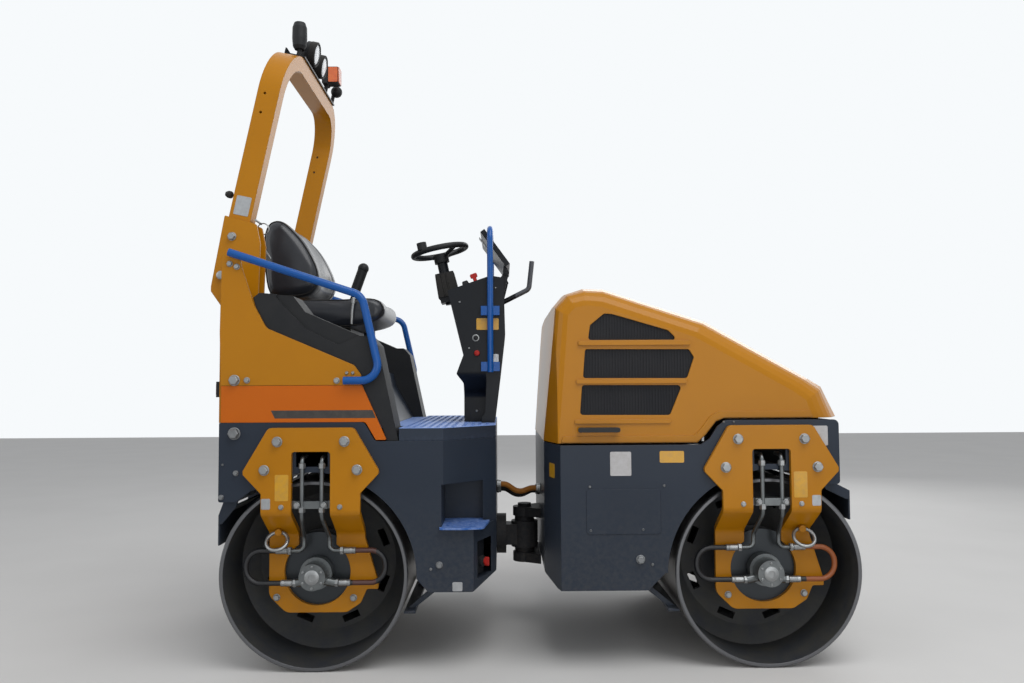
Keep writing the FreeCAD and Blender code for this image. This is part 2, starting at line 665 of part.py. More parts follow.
save("side_consoles", both_sides(trim_body.cut(trim_hollow)))

# Seat: pedestal, cushion and back
seat_mid = -975
back_foot = platform_top + 235
pedestal_top = platform_top + 65
pedestal = block(seat_mid - 190, seat_mid + 165, -seat_width / 2 + 60, seat_width / 2 - 60, platform_top - 60,
                 pedestal_top)
pedestal = pedestal.cut(side_prism([(-1300, platform_top, 0), (-1000, platform_top, 0), (-706, platform_front, 0),
                                    (-706, rear_top_height - 43, 0), (-1300, rear_top_height - 43, 0)], -300, 300))
back_frame = block(-1179, -1139, -120, 120, platform_top + 20, back_foot)
save("seat_base", fuse_all(pedestal, [back_frame]))
cushion = side_prism(raised([(-1130, 0, 20), (-830, 0, 20), (-705, 24, 30), (-662, 55, 25), (-668, 110, 30),
                             (-715, 130, 30), (-1130, 118, 20)], pedestal_top), -seat_width / 2, seat_width / 2)
save("seat_cushion", cushion)
back = side_prism(raised([(-1139, -34, 8), (-975, -25, 25), (-938, 60, 50), (-1005, 200, 90), (-1085, 285, 45),
                          (-1128, 312, 30), (-1175, 290, 30), (-1193, 190, 20), (-1172, 0, 0), (-1139, 0, 0)],
                         back_foot), -seat_width / 2 + 20, seat_width / 2 - 20)
save("seat_back", back)
lever_foot = (-917, platform_top + 165)
lever_y = seat_width / 2 + 70
lever_slope = 54 / 153


def on_lever(up):
    """Point on the lever's axis at a height above its foot."""
    return (lever_foot[0] + up * lever_slope, lever_y, lever_foot[1] + up)


lever = bar(on_lever(-30), on_lever(120), 12)
grip = bar(on_lever(100), on_lever(228), 25)
knob = Part.makeSphere(27, Vector(*on_lever(232)))
boot = Part.makeCone(38, 16, 64, Vector(*on_lever(0)), Vector(lever_slope, 0, 1))
platform_slope = (platform_top - platform_front) / (1000 - 706)
lever_outline = [(-990, lever_foot[1] + 4, 20), (-800, lever_foot[1] + 4, 20),
                 (-800, platform_front + (800 - 706) * platform_slope, 0),
                 (-990, platform_front + (990 - 706) * platform_slope, 0)]
lever_base = side_prism(lever_outline, seat_width / 2 + 15, trim_inner - 10)
save("travel_lever", fuse_all(lever, [grip, knob, boot, lever_base]))

# Blue rails beside the seat
rail_radius = 15
rail_y = frame_half + rail_radius
rail_foot = side_panel_top - 482
rail = bent_tube([(-1187, -rail_y, side_panel_top + 9, 0), (-680, -rail_y, side_panel_top - 159, 60),
                  (-605, -rail_y, rail_foot, 60), (-749, -rail_y, rail_foot, 0)], rail_radius)
save("seat_rails", both_sides(rail))

# Roll bar posts and fold brackets, and the hoop with its lamps
post_y = hoop_half - hoop_tube_width
bracket_plate = 12
bracket_outline = raised([(-1250, 241, 4), (-1124, 205, 10), (-1108, 126, 10), (-1116, -121, 0),
                          (-1120, -fold_rise, 0), (-1212, -fold_rise, 0), (-1212, -141, 10), (-1249, -137, 10),
                          (-1301, -63, 10),
                          (-1301, -43, 10)], fold_z)
outer_cheek = side_prism(bracket_outline, -hoop_half - 1 - bracket_plate, -hoop_half - 1)
inner_cheek = side_prism(bracket_outline, -post_y + 1, -post_y + 1 + bracket_plate)
post_web = block(-1200, -1124, -hoop_half - 1, -post_y + 1, rear_top_height, fold_z - 81)
rops_bracket = fuse_all(outer_cheek, [inner_cheek, post_web])
fold_pin = cross_bar(fold_x, fold_z, -hoop_half - 24, -post_y + 24, 12)
save("rops_brackets", both_sides(rops_bracket.fuse(fold_pin).removeSplitter()))

lean = math.radians(hoop_lean)
hoop_length = (hoop_height - fold_z) / math.cos(lean)
outer_u = [(-hoop_half, -36, 0), (-hoop_half, hoop_length, hoop_bend), (hoop_half, hoop_length, hoop_bend),
           (hoop_half, -36, 0), (post_y, -36, 0),
           (post_y, hoop_length - hoop_tube_width, hoop_bend - hoop_tube_width),
           (-post_y, hoop_length - hoop_tube_width, hoop_bend - hoop_tube_width), (-post_y, -36, 0)]
hoop = end_prism(outer_u, -29, -29 + hoop_tube_depth)
for side in (-1, 1):
    hoop = hoop.cut(cross_bar(0, 0, side * (hoop_half + 5), side * (post_y - 5), 12 + running_clearance))
    for drop in leg_hole_drops:
        up = hoop_length - hoop_bend - drop
        hoop = hoop.cut(cross_bar(2, up, side * (hoop_half + 5), side * (post_y - 5), leg_hole_radius))
hoop.rotate(Vector(0, 0, 0), Vector(0, 1, 0), hoop_lean)
hoop.translate(Vector(fold_x, 0, fold_z))
save("rops_hoop", hoop)

lamp_bar_half = 310
lamp_bar_plate = 6
lamp_bar = block(-24, 66, -lamp_bar_half, lamp_bar_half, hoop_length, hoop_length + lamp_bar_plate)
lamp_bar = fuse_all(lamp_bar, [block(-24, -18, -lamp_bar_half, lamp_bar_half, hoop_length, hoop_length + 26)])


def on_hoop(shape):
    shape.rotate(Vector(0, 0, 0), Vector(0, 1, 0), hoop_lean)
    return shape.translated(Vector(fold_x, 0, fold_z))


save("lamp_bar", on_hoop(lamp_bar))
lamp_base = hoop_length + lamp_bar_plate
work_lamps = []
for y in (-165, -17):
    lens = bar((28, y, lamp_base + 66), (68, y, lamp_base + 66), 52)
    bowl = Part.makeCone(32, 48, 30, Vector(-2, y, lamp_base + 66), Vector(1, 0, 0))
    foot = block(34, 56, y - 10, y + 10, lamp_base, lamp_base + 20)
    work_lamps.append(fuse_all(lens, [bowl, foot]))
save("work_lamps", on_hoop(Part.makeCompound(work_lamps)))


def lamp_stem(x, y, height, radius):
    return on_hoop(Part.makeCylinder(radius, height, Vector(x, y, lamp_base)))


def above_plate(x, up):
    """Where a point on the lamp plate's normal comes out, as (x, z) of the machine."""
    along = lamp_base + up
    place_x = fold_x + x * math.cos(lean) + along * math.sin(lean)
    return (place_x, fold_z - x * math.sin(lean) + along * math.cos(lean))


beacon_x, beacon_foot = above_plate(24, 36)
beacon_rows = [(0, 0), (21, 0), (29, 14), (32, 48), (31, 96), (24, 117), (0, 122)]
beacon_points = [Vector(beacon_x + r, -270, beacon_foot + z) for r, z in beacon_rows]
beacon = Part.Face(Part.makePolygon(beacon_points + [beacon_points[0]]))
beacon = beacon.revolve(Vector(beacon_x, -270, 0), Vector(0, 0, 1), 360)
beacon = fuse_all(beacon, [lamp_stem(24, -270, 44, 9)])
marker_x, marker_foot = above_plate(34, 50)
marker_y = 210
marker_back = side_prism([(marker_x - 14, marker_foot + 4, 6), (marker_x + 12, marker_foot + 8, 0),
                          (marker_x + 12, marker_foot + 96, 0), (marker_x - 10, marker_foot + 108, 10)],
                         marker_y - 38, marker_y + 38)
marker_lens = side_prism([(marker_x + 12, marker_foot + 12, 0), (marker_x + 66, marker_foot + 12, 8),
                          (marker_x + 66, marker_foot + 90, 8), (marker_x + 12, marker_foot + 90, 0)],
                         marker_y - 32, marker_y + 32)
marker_lamp = fuse_all(marker_back, [marker_lens, lamp_stem(34, marker_y, 62, 10)])
ball_x, ball_z = above_plate(66, 62)
ball_lamp = Part.makeSphere(28, Vector(ball_x, 296, ball_z))
ball_lamp = fuse_all(ball_lamp, [lamp_stem(54, 296, 54, 9)])
save("beacons", Part.makeCompound([beacon, marker_lamp, ball_lamp]))

# Console with steering column, blue hoop and wheel
cover_hinge = (-128, floor_height + 652)
cover_pin = 6
console_side = raised([(-383, 570, 4), (-198, 634, 6), (-140, 625, 10), (-134, 380, 0), (-155, 200, 0), (-180, 0, 0),
                       (-316, 0, 0), (-316, 170, 20), (-345, 210, 10), (-315, 290, 0)], floor_height)
console = side_prism(console_side, -console_half, console_half)
narrow = []
for side in (-1, 1):
    narrow.append(end_prism(raised([(side * 130, -1), (side * 130, 120, 30), (side * console_half, 205, 30),
                                    (side * console_half, 240), (side * (console_half + 10), 240),
                                    (side * (console_half + 10), -1)], floor_height), -500, 0))
console = console.cut(narrow[0]).cut(narrow[1])
cheek_outline = raised([(-222, 260, 0), (-150, 260, 0), (-180, 0, 0), (-238, 0, 0), (-236, 25, 4), (-222, 42, 10),
                        (-216, 180, 0)], floor_height)
cheeks = [side_prism(cheek_outline, side * (console_half - 10), side * console_half) for side in (-1, 1)]
wheel_tilt = 12
wheel_centre = (-433, floor_height + 777)
wheel_shaft_radius = 12


def on_column(shape):
    """Sets a shape built about the steering axis, with the wheel's rim at zero, into place."""
    shape.rotate(Vector(0, 0, 0), Vector(0, 1, 0), -wheel_tilt)
    return shape.translated(Vector(wheel_centre[0], 0, wheel_centre[1]))


column = Part.makeCylinder(24, 195 - seat_clearance, Vector(0, 0, -250))
column = column.fuse(Part.makeCylinder(wheel_shaft_radius, 222, Vector(0, 0, -250)))
boot = block(-42, 42, -42, 42, -240, -105)
column = on_column(column.fuse(boot))
grab = bent_tube([(-150, 180, floor_height + 555, 0), (-17, 180, floor_height + 622, 30),
                  (-2, 180, floor_height + 757, 0)], 12)
cover_ears = [grab]
for side in (-1, 1):
    ear = raised([(-165, -42, 0), (-137, -82, 0), (-119, -12, 4), (-119, 9, 6), (-137, 9, 6)], cover_hinge[1])
    cover_ears.append(side_prism(ear, side * 170, side * 179))
    cover_ears.append(cross_bar(cover_hinge[0], cover_hinge[1], side * 170, side * 192, cover_pin))
save("console", fuse_all(console, [column] + cheeks + cover_ears))

hoop_x = -198
hoop_foot = floor_height + 216
hoop_top = floor_height + 843
console_hoop = bent_tube([(hoop_x, -console_half - 26, hoop_foot, 0), (hoop_x, -console_half - 26, hoop_top, 60),
                          (hoop_x, console_half + 26, hoop_top, 60), (hoop_x, console_half + 26, hoop_foot, 0)], 13)
tabs = []
for z in (hoop_foot + 4, hoop_foot + 244):
    for side in (-1, 1):
        tabs.append(block(hoop_x - 40, hoop_x + 40, side * (console_half + 13) - 13, side * (console_half + 13) + 13,
                          z, z + 40))
save("console_hoop", fuse_all(console_hoop, tabs))

rim = Part.makeTorus(steering_wheel_diameter / 2 - wheel_rim_radius, wheel_rim_radius)
hub = Part.makeCylinder(34, 40, Vector(0, 0, -55))
spokes = [bar((0, 0, -34), (x, y, 0), 9) for x, y in ((-118, 0), (80, 88), (80, -88))]
knob = Part.makeCylinder(22, 34, Vector(-70, -92, 6))
wheel = fuse_all(rim, [hub, knob] + spokes)
wheel = wheel.cut(Part.makeCylinder(wheel_shaft_radius + running_clearance, 40, Vector(0, 0, -67)))
save("steering_wheel", on_column(wheel))

# Panel cover, open at rest: a tray hung above its pin, built lying along X
cover_open = 126
cover_reach = 208
cover_half = console_half - 13
cover = block(20, cover_reach, -cover_half, cover_half, -34, -12)
cover = cover.cut(block(24, cover_reach - 4, -cover_half + 4, cover_half - 4, -35, -16))
cover_arms = []
for side in (-1, 1):
    arm = side_prism([(-10, -10, 6), (-10, 10, 6), (12, 10, 4), (34, -12, 0), (34, -16, 0), (20, -16, 0)],
                     side * 180, side * 188)
    cover_arms.append(arm)
cover = cover.multiFuse(cover_arms)
cover = cover.cut(cross_bar(0, 0, -200, 200, cover_pin + running_clearance))
cover.rotate(Vector(0, 0, 0), Vector(0, 1, 0), -cover_open)
save("panel_cover", cover.translated(Vector(cover_hinge[0], 0, cover_hinge[1])))

# Engine block on the belly plate
save("engine", block(110, 380, -220, 220, belly_height + frame_plate, rear_top_height + 207))

# Hood: shell between a side outline and a higher crown.
# Columns: side x, side height over the hood's rim, crown x, crown height over the rim
hood_low_z = deck_height - 21 + hood_gap
hood_high_z = rear_top_height + hood_gap
hood_foot = hood_low_z - hood_high_z
hood_step = 36 - frame_rise
hood_rows = [
    (18, hood_foot, 18, hood_foot), (60, 422, 64, 457), (108, 476, 104, 504), (172, 490, 180, 530),
    (249, 484, 262, 530), (621, 361, 693, 391), (1005, 146, 1120, 152), (1070, 99, 1166, 126),
    (1088, 49, 1200, 57), (1107, 0, 1229, 0), (707, 0, 707, 0),
    (676, -12, 676, -12), (634, hood_step - 28, 634, hood_step - 28), (603, hood_foot, 603, hood_foot)]
hood_rows = [(a, b + hood_high_z, c, d + hood_high_z) for a, b, c, d in hood_rows]
hood_rear_chamfer = (18, front_face_half, 65)


hood_round = 50
hood_round_steps = 4


def hood_rings(wall):
    """Outlines across the hood from its left side to its middle, as (distance from the middle, corners)."""
    lines = []
    for first in (0, 2):
        line = [(row[first], row[first + 1], 0) for row in hood_rows]
        lines.append(inset_outline(line, wall) if wall else line)
    half = hood_half - wall
    reach = half - hood_crown_half
    radius = hood_round - wall
    steps = []
    for i in range(hood_round_steps + 1):
        turn = math.radians(90 * i / hood_round_steps)
        steps.append((half - radius * (1 - math.cos(turn)), radius * (1 - math.sin(turn))))
    steps += [(half - reach / 2, 0), (hood_crown_half, 0)]
    rings = []
    for y, inset in steps:
        part = (half - y) / reach
        rise = part * (2 - part)
        line = [(a[0] + (b[0] - a[0]) * rise, a[1] + (b[1] - a[1]) * rise, 0) for a, b in zip(*lines)]
        inner = inset_outline(line, inset) if inset > 0.01 else line
        ring = [(line[0][0] + inset, line[0][1])]
        ring += [(x, z) for x, z, r in inner[1:9]]
        ring += [(line[9][0] - inset, line[9][1])]
        ring += [(x, z) for x, z, r in line[10:]]
        rings.append((y, ring))
    return rings


def hood_body(wall, drop):
    """Crowned top and rounded shoulders, skinned from ring to ring."""
    half = []
    for y, ring in hood_rings(wall):
        half.append((y, [(x, z - drop if i == 0 or i > 8 else z) for i, (x, z) in enumerate(ring)]))
    rings = [[Vector(x, y, z) for x, z in ring] for y, ring in half]
    rings += [[Vector(x, -y, z) for x, z in ring] for y, ring in reversed(half)]
    faces = []
    count = len(hood_rows)
    for ring_a, ring_b in zip(rings, rings[1:]):
        for i in range(count):
            j = (i + 1) % count
            faces += skin_faces([ring_a[i], ring_a[j], ring_b[j], ring_b[i]])
    for ring in (rings[0], rings[-1]):
        faces.append(Part.Face(Part.makePolygon(ring + [ring[0]])))
    shell = Part.makeShell(faces)
    shell.sewShape()
    solid = Part.Solid(shell)
    if solid.Volume < 0:
        solid.reverse()
    slope_x = hood_rear_chamfer[2] - hood_rear_chamfer[0]
    slope_y = hood_half - hood_rear_chamfer[1]
    back = wall * math.hypot(slope_x, slope_y) / slope_x
    for side in (-1, 1):
        wedge = plan_prism([(hood_rear_chamfer[0] - 60, side * (hood_rear_chamfer[1] - back - 60 * slope_y / slope_x)),
                            (hood_rear_chamfer[2] + 60, side * (hood_half - back + 60 * slope_y / slope_x)),
                            (hood_rear_chamfer[0] - 60, side * (hood_half + 800))], 700, 1600)
        solid = solid.cut(wedge)
    return solid


def skin_faces(corners):
    """One flat face through four corners if they lie in a plane, or else two triangles."""
    a, b, c, d = corners
    if (a - b).Length < 1e-6 or (c - d).Length < 1e-6:
        return []
    normal = (b - a).cross(c - a)
    if normal.Length > 1e-6 and abs((d - a).dot(normal.normalize())) < 1e-4:
        return [Part.Face(Part.makePolygon([a, b, c, d, a]))]
    return [Part.Face(Part.makePolygon([a, b, c, a])), Part.Face(Part.makePolygon([a, c, d, a]))]


hood = hood_body(0, 0).cut(hood_body(hood_wall, 40))
window_rows = [
    [(185, 305, 10), (193, 363, 12), (248, 408, 12), (279, 406, 12), (496, 342, 14), (523, 315, 10), (519, 305, 4)],
    [(173, 270, 10), (576, 268, 12), (595, 237, 8), (567, 156, 12), (164, 158, 10)],
    [(160, 131, 10), (547, 129, 12), (499, 14, 14), (151, 16, 12)]]
for row in window_rows:
    for side in (-1, 1):
        hood = hood.cut(side_prism(raised(row, hood_high_z), side * (hood_half - 40), side * (hood_half + 20)))
hood_extras = []
handle_z = hood_low_z + 52
rib_rows = [(146, 581, hood_high_z + 284, hood_high_z + 302), (137, 565, hood_high_z + 136, hood_high_z + 152)]
step_z = hood_rows[12][1]
border_edge = [(78, hood_low_z + 3), (601, hood_low_z + 3), (632, step_z + 3), (674, hood_high_z - 9),
               (706, hood_high_z + 3), (1052, hood_high_z + 3)]
border_top = [(1040, hood_high_z + 28), (688, hood_high_z + 28), (652, hood_high_z + 8), (612, step_z + 20),
              (588, hood_low_z + 27), (84, hood_low_z + 27)]
border_radii = [4, 10, 10, 10, 10, 6, 16, 16, 20, 20, 20, 8]
border_outline = [(x, z, r) for (x, z), r in zip(border_edge + border_top, border_radii)]
crease_outline = raised([(130, 75, 6), (497, 75, 6), (508, 91, 6), (130, 91, 6)], hood_low_z)
for side in (-1, 1):
    for outline in (border_outline, crease_outline):
        hood_extras.append(side_prism(outline, side * (hood_half - 3), side * (hood_half + 6)))
    for x0, x1, z0, z1 in rib_rows:
        hood_extras.append(side_prism([(x0, z0, 6), (x1, z0, 6), (x1, z1, 6), (x0, z1, 6)],
                                      side * (hood_half - 3), side * (hood_half + 9)))
    lug = [(hood_hinge_x - 12, hood_hinge_z - 10, 8), (hood_hinge_x + 12, hood_hinge_z - 10, 8),
           (1218, hood_high_z + 10, 0), (1190, hood_high_z + 62, 0), (hood_hinge_x - 10, hood_high_z + 62, 0)]
    hood_extras.append(side_prism(lug, side * (hood_lug_y + 13), side * (hood_lug_y + 25)))
    hood_extras.append(side_prism([(141, handle_z - 9, 8), (302, handle_z - 9, 8), (302, handle_z + 10, 8),
                                   (141, handle_z + 10, 8)], side * (hood_half + 16), side * (hood_half + 32)))
    for x in (152, 291):
        hood_extras.append(cross_bar(x, handle_z, side * (hood_half - 3), side * (hood_half + 20), 8))
hood = fuse_all(hood, hood_extras)
for side in (-1, 1):
    hood = hood.cut(cross_bar(hood_hinge_x, hood_hinge_z, side * hood_lug_y, side * (hood_lug_y + 30),
                              hood_pin + running_clearance))
save("hood", hood)

# Ribbed grilles behind the hood's windows
grille_y = hood_half - hood_wall
grille_outline = raised([(132, -3, 0), (520, -3, 0), (616, 202, 0), (616, 288, 0), (556, 320, 0), (268, 422, 0),
                         (232, 422, 0), (162, 382, 0)], hood_high_z)
grille = side_prism(grille_outline, -grille_y, -grille_y + 3)
save("hood_grilles", both_sides(grille))

# Scrapers: a hanging blade on bent arms at the outer side of each drum, a low blade at the inner side
blade_half = drum_half - 10
arm_y = 250


def outer_scraper(axle_x, ahead, foot_z, shelf, gap, foot):
    """Shelf on two arms and a hanging blade. Shelf holds inner reach, outer reach, drop in, drop out."""
    x0, x1 = (drum_radius + shelf[0], drum_radius + shelf[1])
    z0, z1 = (foot_z - shelf[2], foot_z - shelf[3])
    low = axle_z + math.sqrt((drum_radius + gap) ** 2 - x1 ** 2)
    rows = [(x0, z0), (x1 + 6, z1), (x1 + 6, low), (x1, low), (x1, z1 - 6), (x0, z0 - 6)]
    sheet = side_prism([(axle_x + ahead * x, z, 0) for x, z in rows], -blade_half, blade_half)
    arm_rows = [(drum_radius + foot[0], foot_z), (drum_radius + foot[1], foot_z), (x1 + 4, z1), (x1 + 4, z1 - 30),
                (x1 - 8, z1 - 34), (x0, z0 - 10)]
    arms = []
    for y in (-blade_half, -arm_y, arm_y, blade_half):
        arms.append(side_prism([(axle_x + ahead * x, z, 0) for x, z in arm_rows], y - 5, y + 5))
    return fuse_all(sheet, arms)


def inner_scraper(axle_x, ahead):
    """Blade low behind the drum on arms under the belly; ahead points from the axle to the machine's middle."""
    arms = []
    rows = [(452, belly_height), (484, belly_height), (380, 224), (352, 224)]
    for y in (50 - blade_half, -180, 180, blade_half - 50):
        arms.append(side_prism([(axle_x + ahead * x, z, 0) for x, z in rows], y - 7, y + 7))
    blade = [(drum_radius - 18, 214), (386, 214), (386, 226), (drum_radius - 18, 220)]
    sheet = side_prism([(axle_x + ahead * x, z, 0) for x, z in blade], -blade_half, blade_half)
    return fuse_all(sheet, arms)


save("rear_scrapers", Part.makeCompound([outer_scraper(rear_axle_x, -1, frame_foot_height, (-62, 0, 13, 55), 18,
                                                       (-70, -16)),
                                         inner_scraper(rear_axle_x, 1)]))
save("front_scrapers", Part.makeCompound([outer_scraper(front_axle_x, 1, front_foot_z, (-134, -44, 14, 30), 12,
                                                        (-140, -98)),
                                          inner_scraper(front_axle_x, -1)]))

overall = Part.makeCompound(list(solids.values())).BoundBox
centre_shift = -(overall.XMin + overall.XMax) / 2
os.makedirs("parts", exist_ok=True)
for name, shape in solids.items():
    shape = shape.copy()
    shape.translate(Vector(centre_shift, 0, 0))
    shape.exportStep("parts/" + name + ".step")
    box = shape.BoundBox
    print(name, shape.isValid(), len(shape.Solids), round(shape.Volume / 1e6, 2),
          [round(v) for v in (box.XMin, box.XMax, box.YMin, box.YMax, box.ZMin, box.ZMax)])
print("centre shift", round(centre_shift, 2))
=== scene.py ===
import math
import random

import bmesh
import bpy
from mathutils import Matrix, Vector


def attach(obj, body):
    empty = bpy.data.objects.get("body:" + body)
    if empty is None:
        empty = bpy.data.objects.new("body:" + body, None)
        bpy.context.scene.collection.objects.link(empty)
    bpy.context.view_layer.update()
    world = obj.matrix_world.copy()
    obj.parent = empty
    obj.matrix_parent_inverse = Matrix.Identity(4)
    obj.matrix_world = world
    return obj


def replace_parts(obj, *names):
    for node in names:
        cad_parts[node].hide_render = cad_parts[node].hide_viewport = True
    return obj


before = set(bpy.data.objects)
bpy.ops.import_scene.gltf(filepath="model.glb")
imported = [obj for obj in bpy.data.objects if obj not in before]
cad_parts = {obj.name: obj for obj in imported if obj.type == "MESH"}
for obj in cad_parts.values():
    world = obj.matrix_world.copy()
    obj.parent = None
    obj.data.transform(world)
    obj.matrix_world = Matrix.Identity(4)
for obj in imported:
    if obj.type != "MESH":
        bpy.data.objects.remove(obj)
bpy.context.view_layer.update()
random.seed(7)

axleShift = 36.0  # mm from midway between the axles to the frame's origin


def spot(x, y, z):  # millimetres from midway between the axles, to metres in the frame
    return Vector(((x + axleShift) / 1000, y / 1000, z / 1000))


# ---- nodes and colours

def linearColour(hexCode):
    channels = [int(hexCode[i:i + 2], 16) / 255 for i in (1, 3, 5)]
    return [c / 12.92 if c <= 0.04045 else ((c + 0.055) / 1.055) ** 2.4 for c in channels] + [1]


def addNode(tree, kind, settings=None, links=None):
    node = tree.nodes.new(kind)
    for name, value in (settings or {}).items():
        if isinstance(name, str) and hasattr(node, name):
            setattr(node, name, value)
        else:
            node.inputs[name].default_value = value
    for name, source in (links or {}).items():
        tree.links.new(source, node.inputs[name])
    return node


def startMaterial(name):
    material = bpy.data.materials.new(name)
    material.use_nodes = True
    tree = material.node_tree
    tree.nodes.clear()
    place = addNode(tree, "ShaderNodeTexCoord").outputs["Object"]
    return material, tree, place


def endMaterial(tree, shader):
    addNode(tree, "ShaderNodeOutputMaterial", {}, {"Surface": shader.outputs[0]})


def insideBox(tree, place, box):  # 1 inside the frame's box in metres, where Y counts on both sides alike
    parts = addNode(tree, "ShaderNodeSeparateXYZ", {}, {"Vector": place})
    mirrored = addNode(tree, "ShaderNodeMath", {"operation": "ABSOLUTE"}, {0: parts.outputs["Y"]})
    sources = {"X": parts.outputs["X"], "Y": mirrored.outputs[0], "Z": parts.outputs["Z"], "side": parts.outputs["Y"]}
    inside = None
    for axis, (low, high) in box.items():
        within = addNode(tree, "ShaderNodeMath", {"operation": "COMPARE", 1: (low + high) / 2, 2: (high - low) / 2},
                         {0: sources[axis]})
        if inside:
            within = addNode(tree, "ShaderNodeMath", {"operation": "MULTIPLY"},
                             {0: within.outputs[0], 1: inside.outputs[0]})
        inside = within
    return inside.outputs[0]


def patchedHue(tree, place, hue, patches):  # patches hold a colour and the box that has it
    for hexCode, box in patches:
        mixed = addNode(tree, "ShaderNodeMix", {"data_type": "RGBA", 7: linearColour(hexCode)},
                        {0: insideBox(tree, place, box), 6: hue})
        hue = mixed.outputs[2]
    return hue


# enamel on steel: an even coat with a soft gloss, edges with a painted highlight broken up like wear so they catch
# light, and dust that settles low and on top, which on the floor blue also stands for a painted sky sheen
def enamelPaint(name, look):
    material, tree, place = startMaterial(name)
    height = addNode(tree, "ShaderNodeSeparateXYZ", {}, {"Vector": place}).outputs["Z"]
    mottle = addNode(tree, "ShaderNodeTexNoise", {"Scale": 2.6, "Detail": 4, "Roughness": 0.6}, {"Vector": place})
    even = addNode(tree, "ShaderNodeMix", {"data_type": "RGBA", 6: linearColour(look["shade"]),
                                           7: linearColour(look["base"])}, {0: mottle.outputs["Fac"]})
    grit = addNode(tree, "ShaderNodeTexNoise", {"Scale": 55, "Detail": 6, "Roughness": 0.7}, {"Vector": place})
    low = addNode(tree, "ShaderNodeMapRange", {"From Min": look["dustTop"], "From Max": look["dustTop"] - 0.55},
                  {"Value": height})
    facing = addNode(tree, "ShaderNodeSeparateXYZ", {}, {
        "Vector": addNode(tree, "ShaderNodeNewGeometry").outputs["Normal"]}).outputs["Z"]
    # upward faces take the dust colour: settled dust, and for the floor blue also a painted sky sheen
    upward = addNode(tree, "ShaderNodeMapRange", {"From Min": 0.55, "From Max": 1.0, "To Max": look["topDustAndSheen"]},
                     {"Value": facing})
    lowAndTopFacing = addNode(tree, "ShaderNodeMath", {"operation": "MAXIMUM"}, {0: low.outputs[0], 1: upward.outputs[0]})
    patchy = addNode(tree, "ShaderNodeMapRange", {"From Min": 0.38, "From Max": 0.72}, {"Value": grit.outputs["Fac"]})
    dustAndSheenSpread = addNode(tree, "ShaderNodeMath", {"operation": "MULTIPLY"}, {0: lowAndTopFacing.outputs[0], 1: patchy.outputs[0]})
    film = addNode(tree, "ShaderNodeMath", {"operation": "MULTIPLY", 1: look["dustAndSheenAmount"]}, {0: dustAndSheenSpread.outputs[0]})
    plain = patchedHue(tree, place, even.outputs[2], look.get("patches", []))
    coated = addNode(tree, "ShaderNodeMix", {"data_type": "RGBA", 7: linearColour(look["dustAndSheenHue"])},
                     {0: film.outputs[0], 6: plain})
    rounded = addNode(tree, "ShaderNodeBevel", {"samples": 3, "Radius": look["edge"]})
    flat = addNode(tree, "ShaderNodeNewGeometry")
    agree = addNode(tree, "ShaderNodeVectorMath", {"operation": "DOT_PRODUCT"},
                    {0: rounded.outputs[0], 1: flat.outputs["Normal"]})
    # painted highlight: sharp edges, broken up like wear, take a paler tone of the paint
    edge = addNode(tree, "ShaderNodeMapRange", {"From Min": 0.985, "From Max": 0.80}, {"Value": agree.outputs["Value"]})
    wornEdgeHighlightMask = addNode(tree, "ShaderNodeMath", {"operation": "MULTIPLY"}, {0: edge.outputs[0], 1: patchy.outputs[0]})
    wornEdgeHighlightAmount = addNode(tree, "ShaderNodeMath", {"operation": "MULTIPLY", 1: look["edgeWearAndHighlight"]}, {0: wornEdgeHighlightMask.outputs[0]})
    hue = addNode(tree, "ShaderNodeMix", {"data_type": "RGBA", 7: linearColour(look["edgeHighlightHue"])},
                  {0: wornEdgeHighlightAmount.outputs[0], 6: coated.outputs[2]})
    rough = addNode(tree, "ShaderNodeMapRange", {"To Min": look["rough"], "To Max": look["rough"] + 0.3},
                    {"Value": film.outputs[0]})
    peel = addNode(tree, "ShaderNodeTexNoise", {"Scale": 420, "Detail": 2}, {"Vector": place})  # 2 to 3 mm ripples
    bump = addNode(tree, "ShaderNodeBump", {"Strength": look["peel"], "Distance": 0.0006},
                   {"Height": peel.outputs["Fac"], "Normal": rounded.outputs[0]})
    shader = addNode(tree, "ShaderNodeBsdfPrincipled", {
        "IOR": 1.5, "Specular IOR Level": 0.16, "Coat Weight": look["coat"], "Coat Roughness": 0.12},
        {"Base Color": hue.outputs[2], "Roughness": rough.outputs[0], "Normal": bump.outputs[0]})
    endMaterial(tree, shader)
    return material


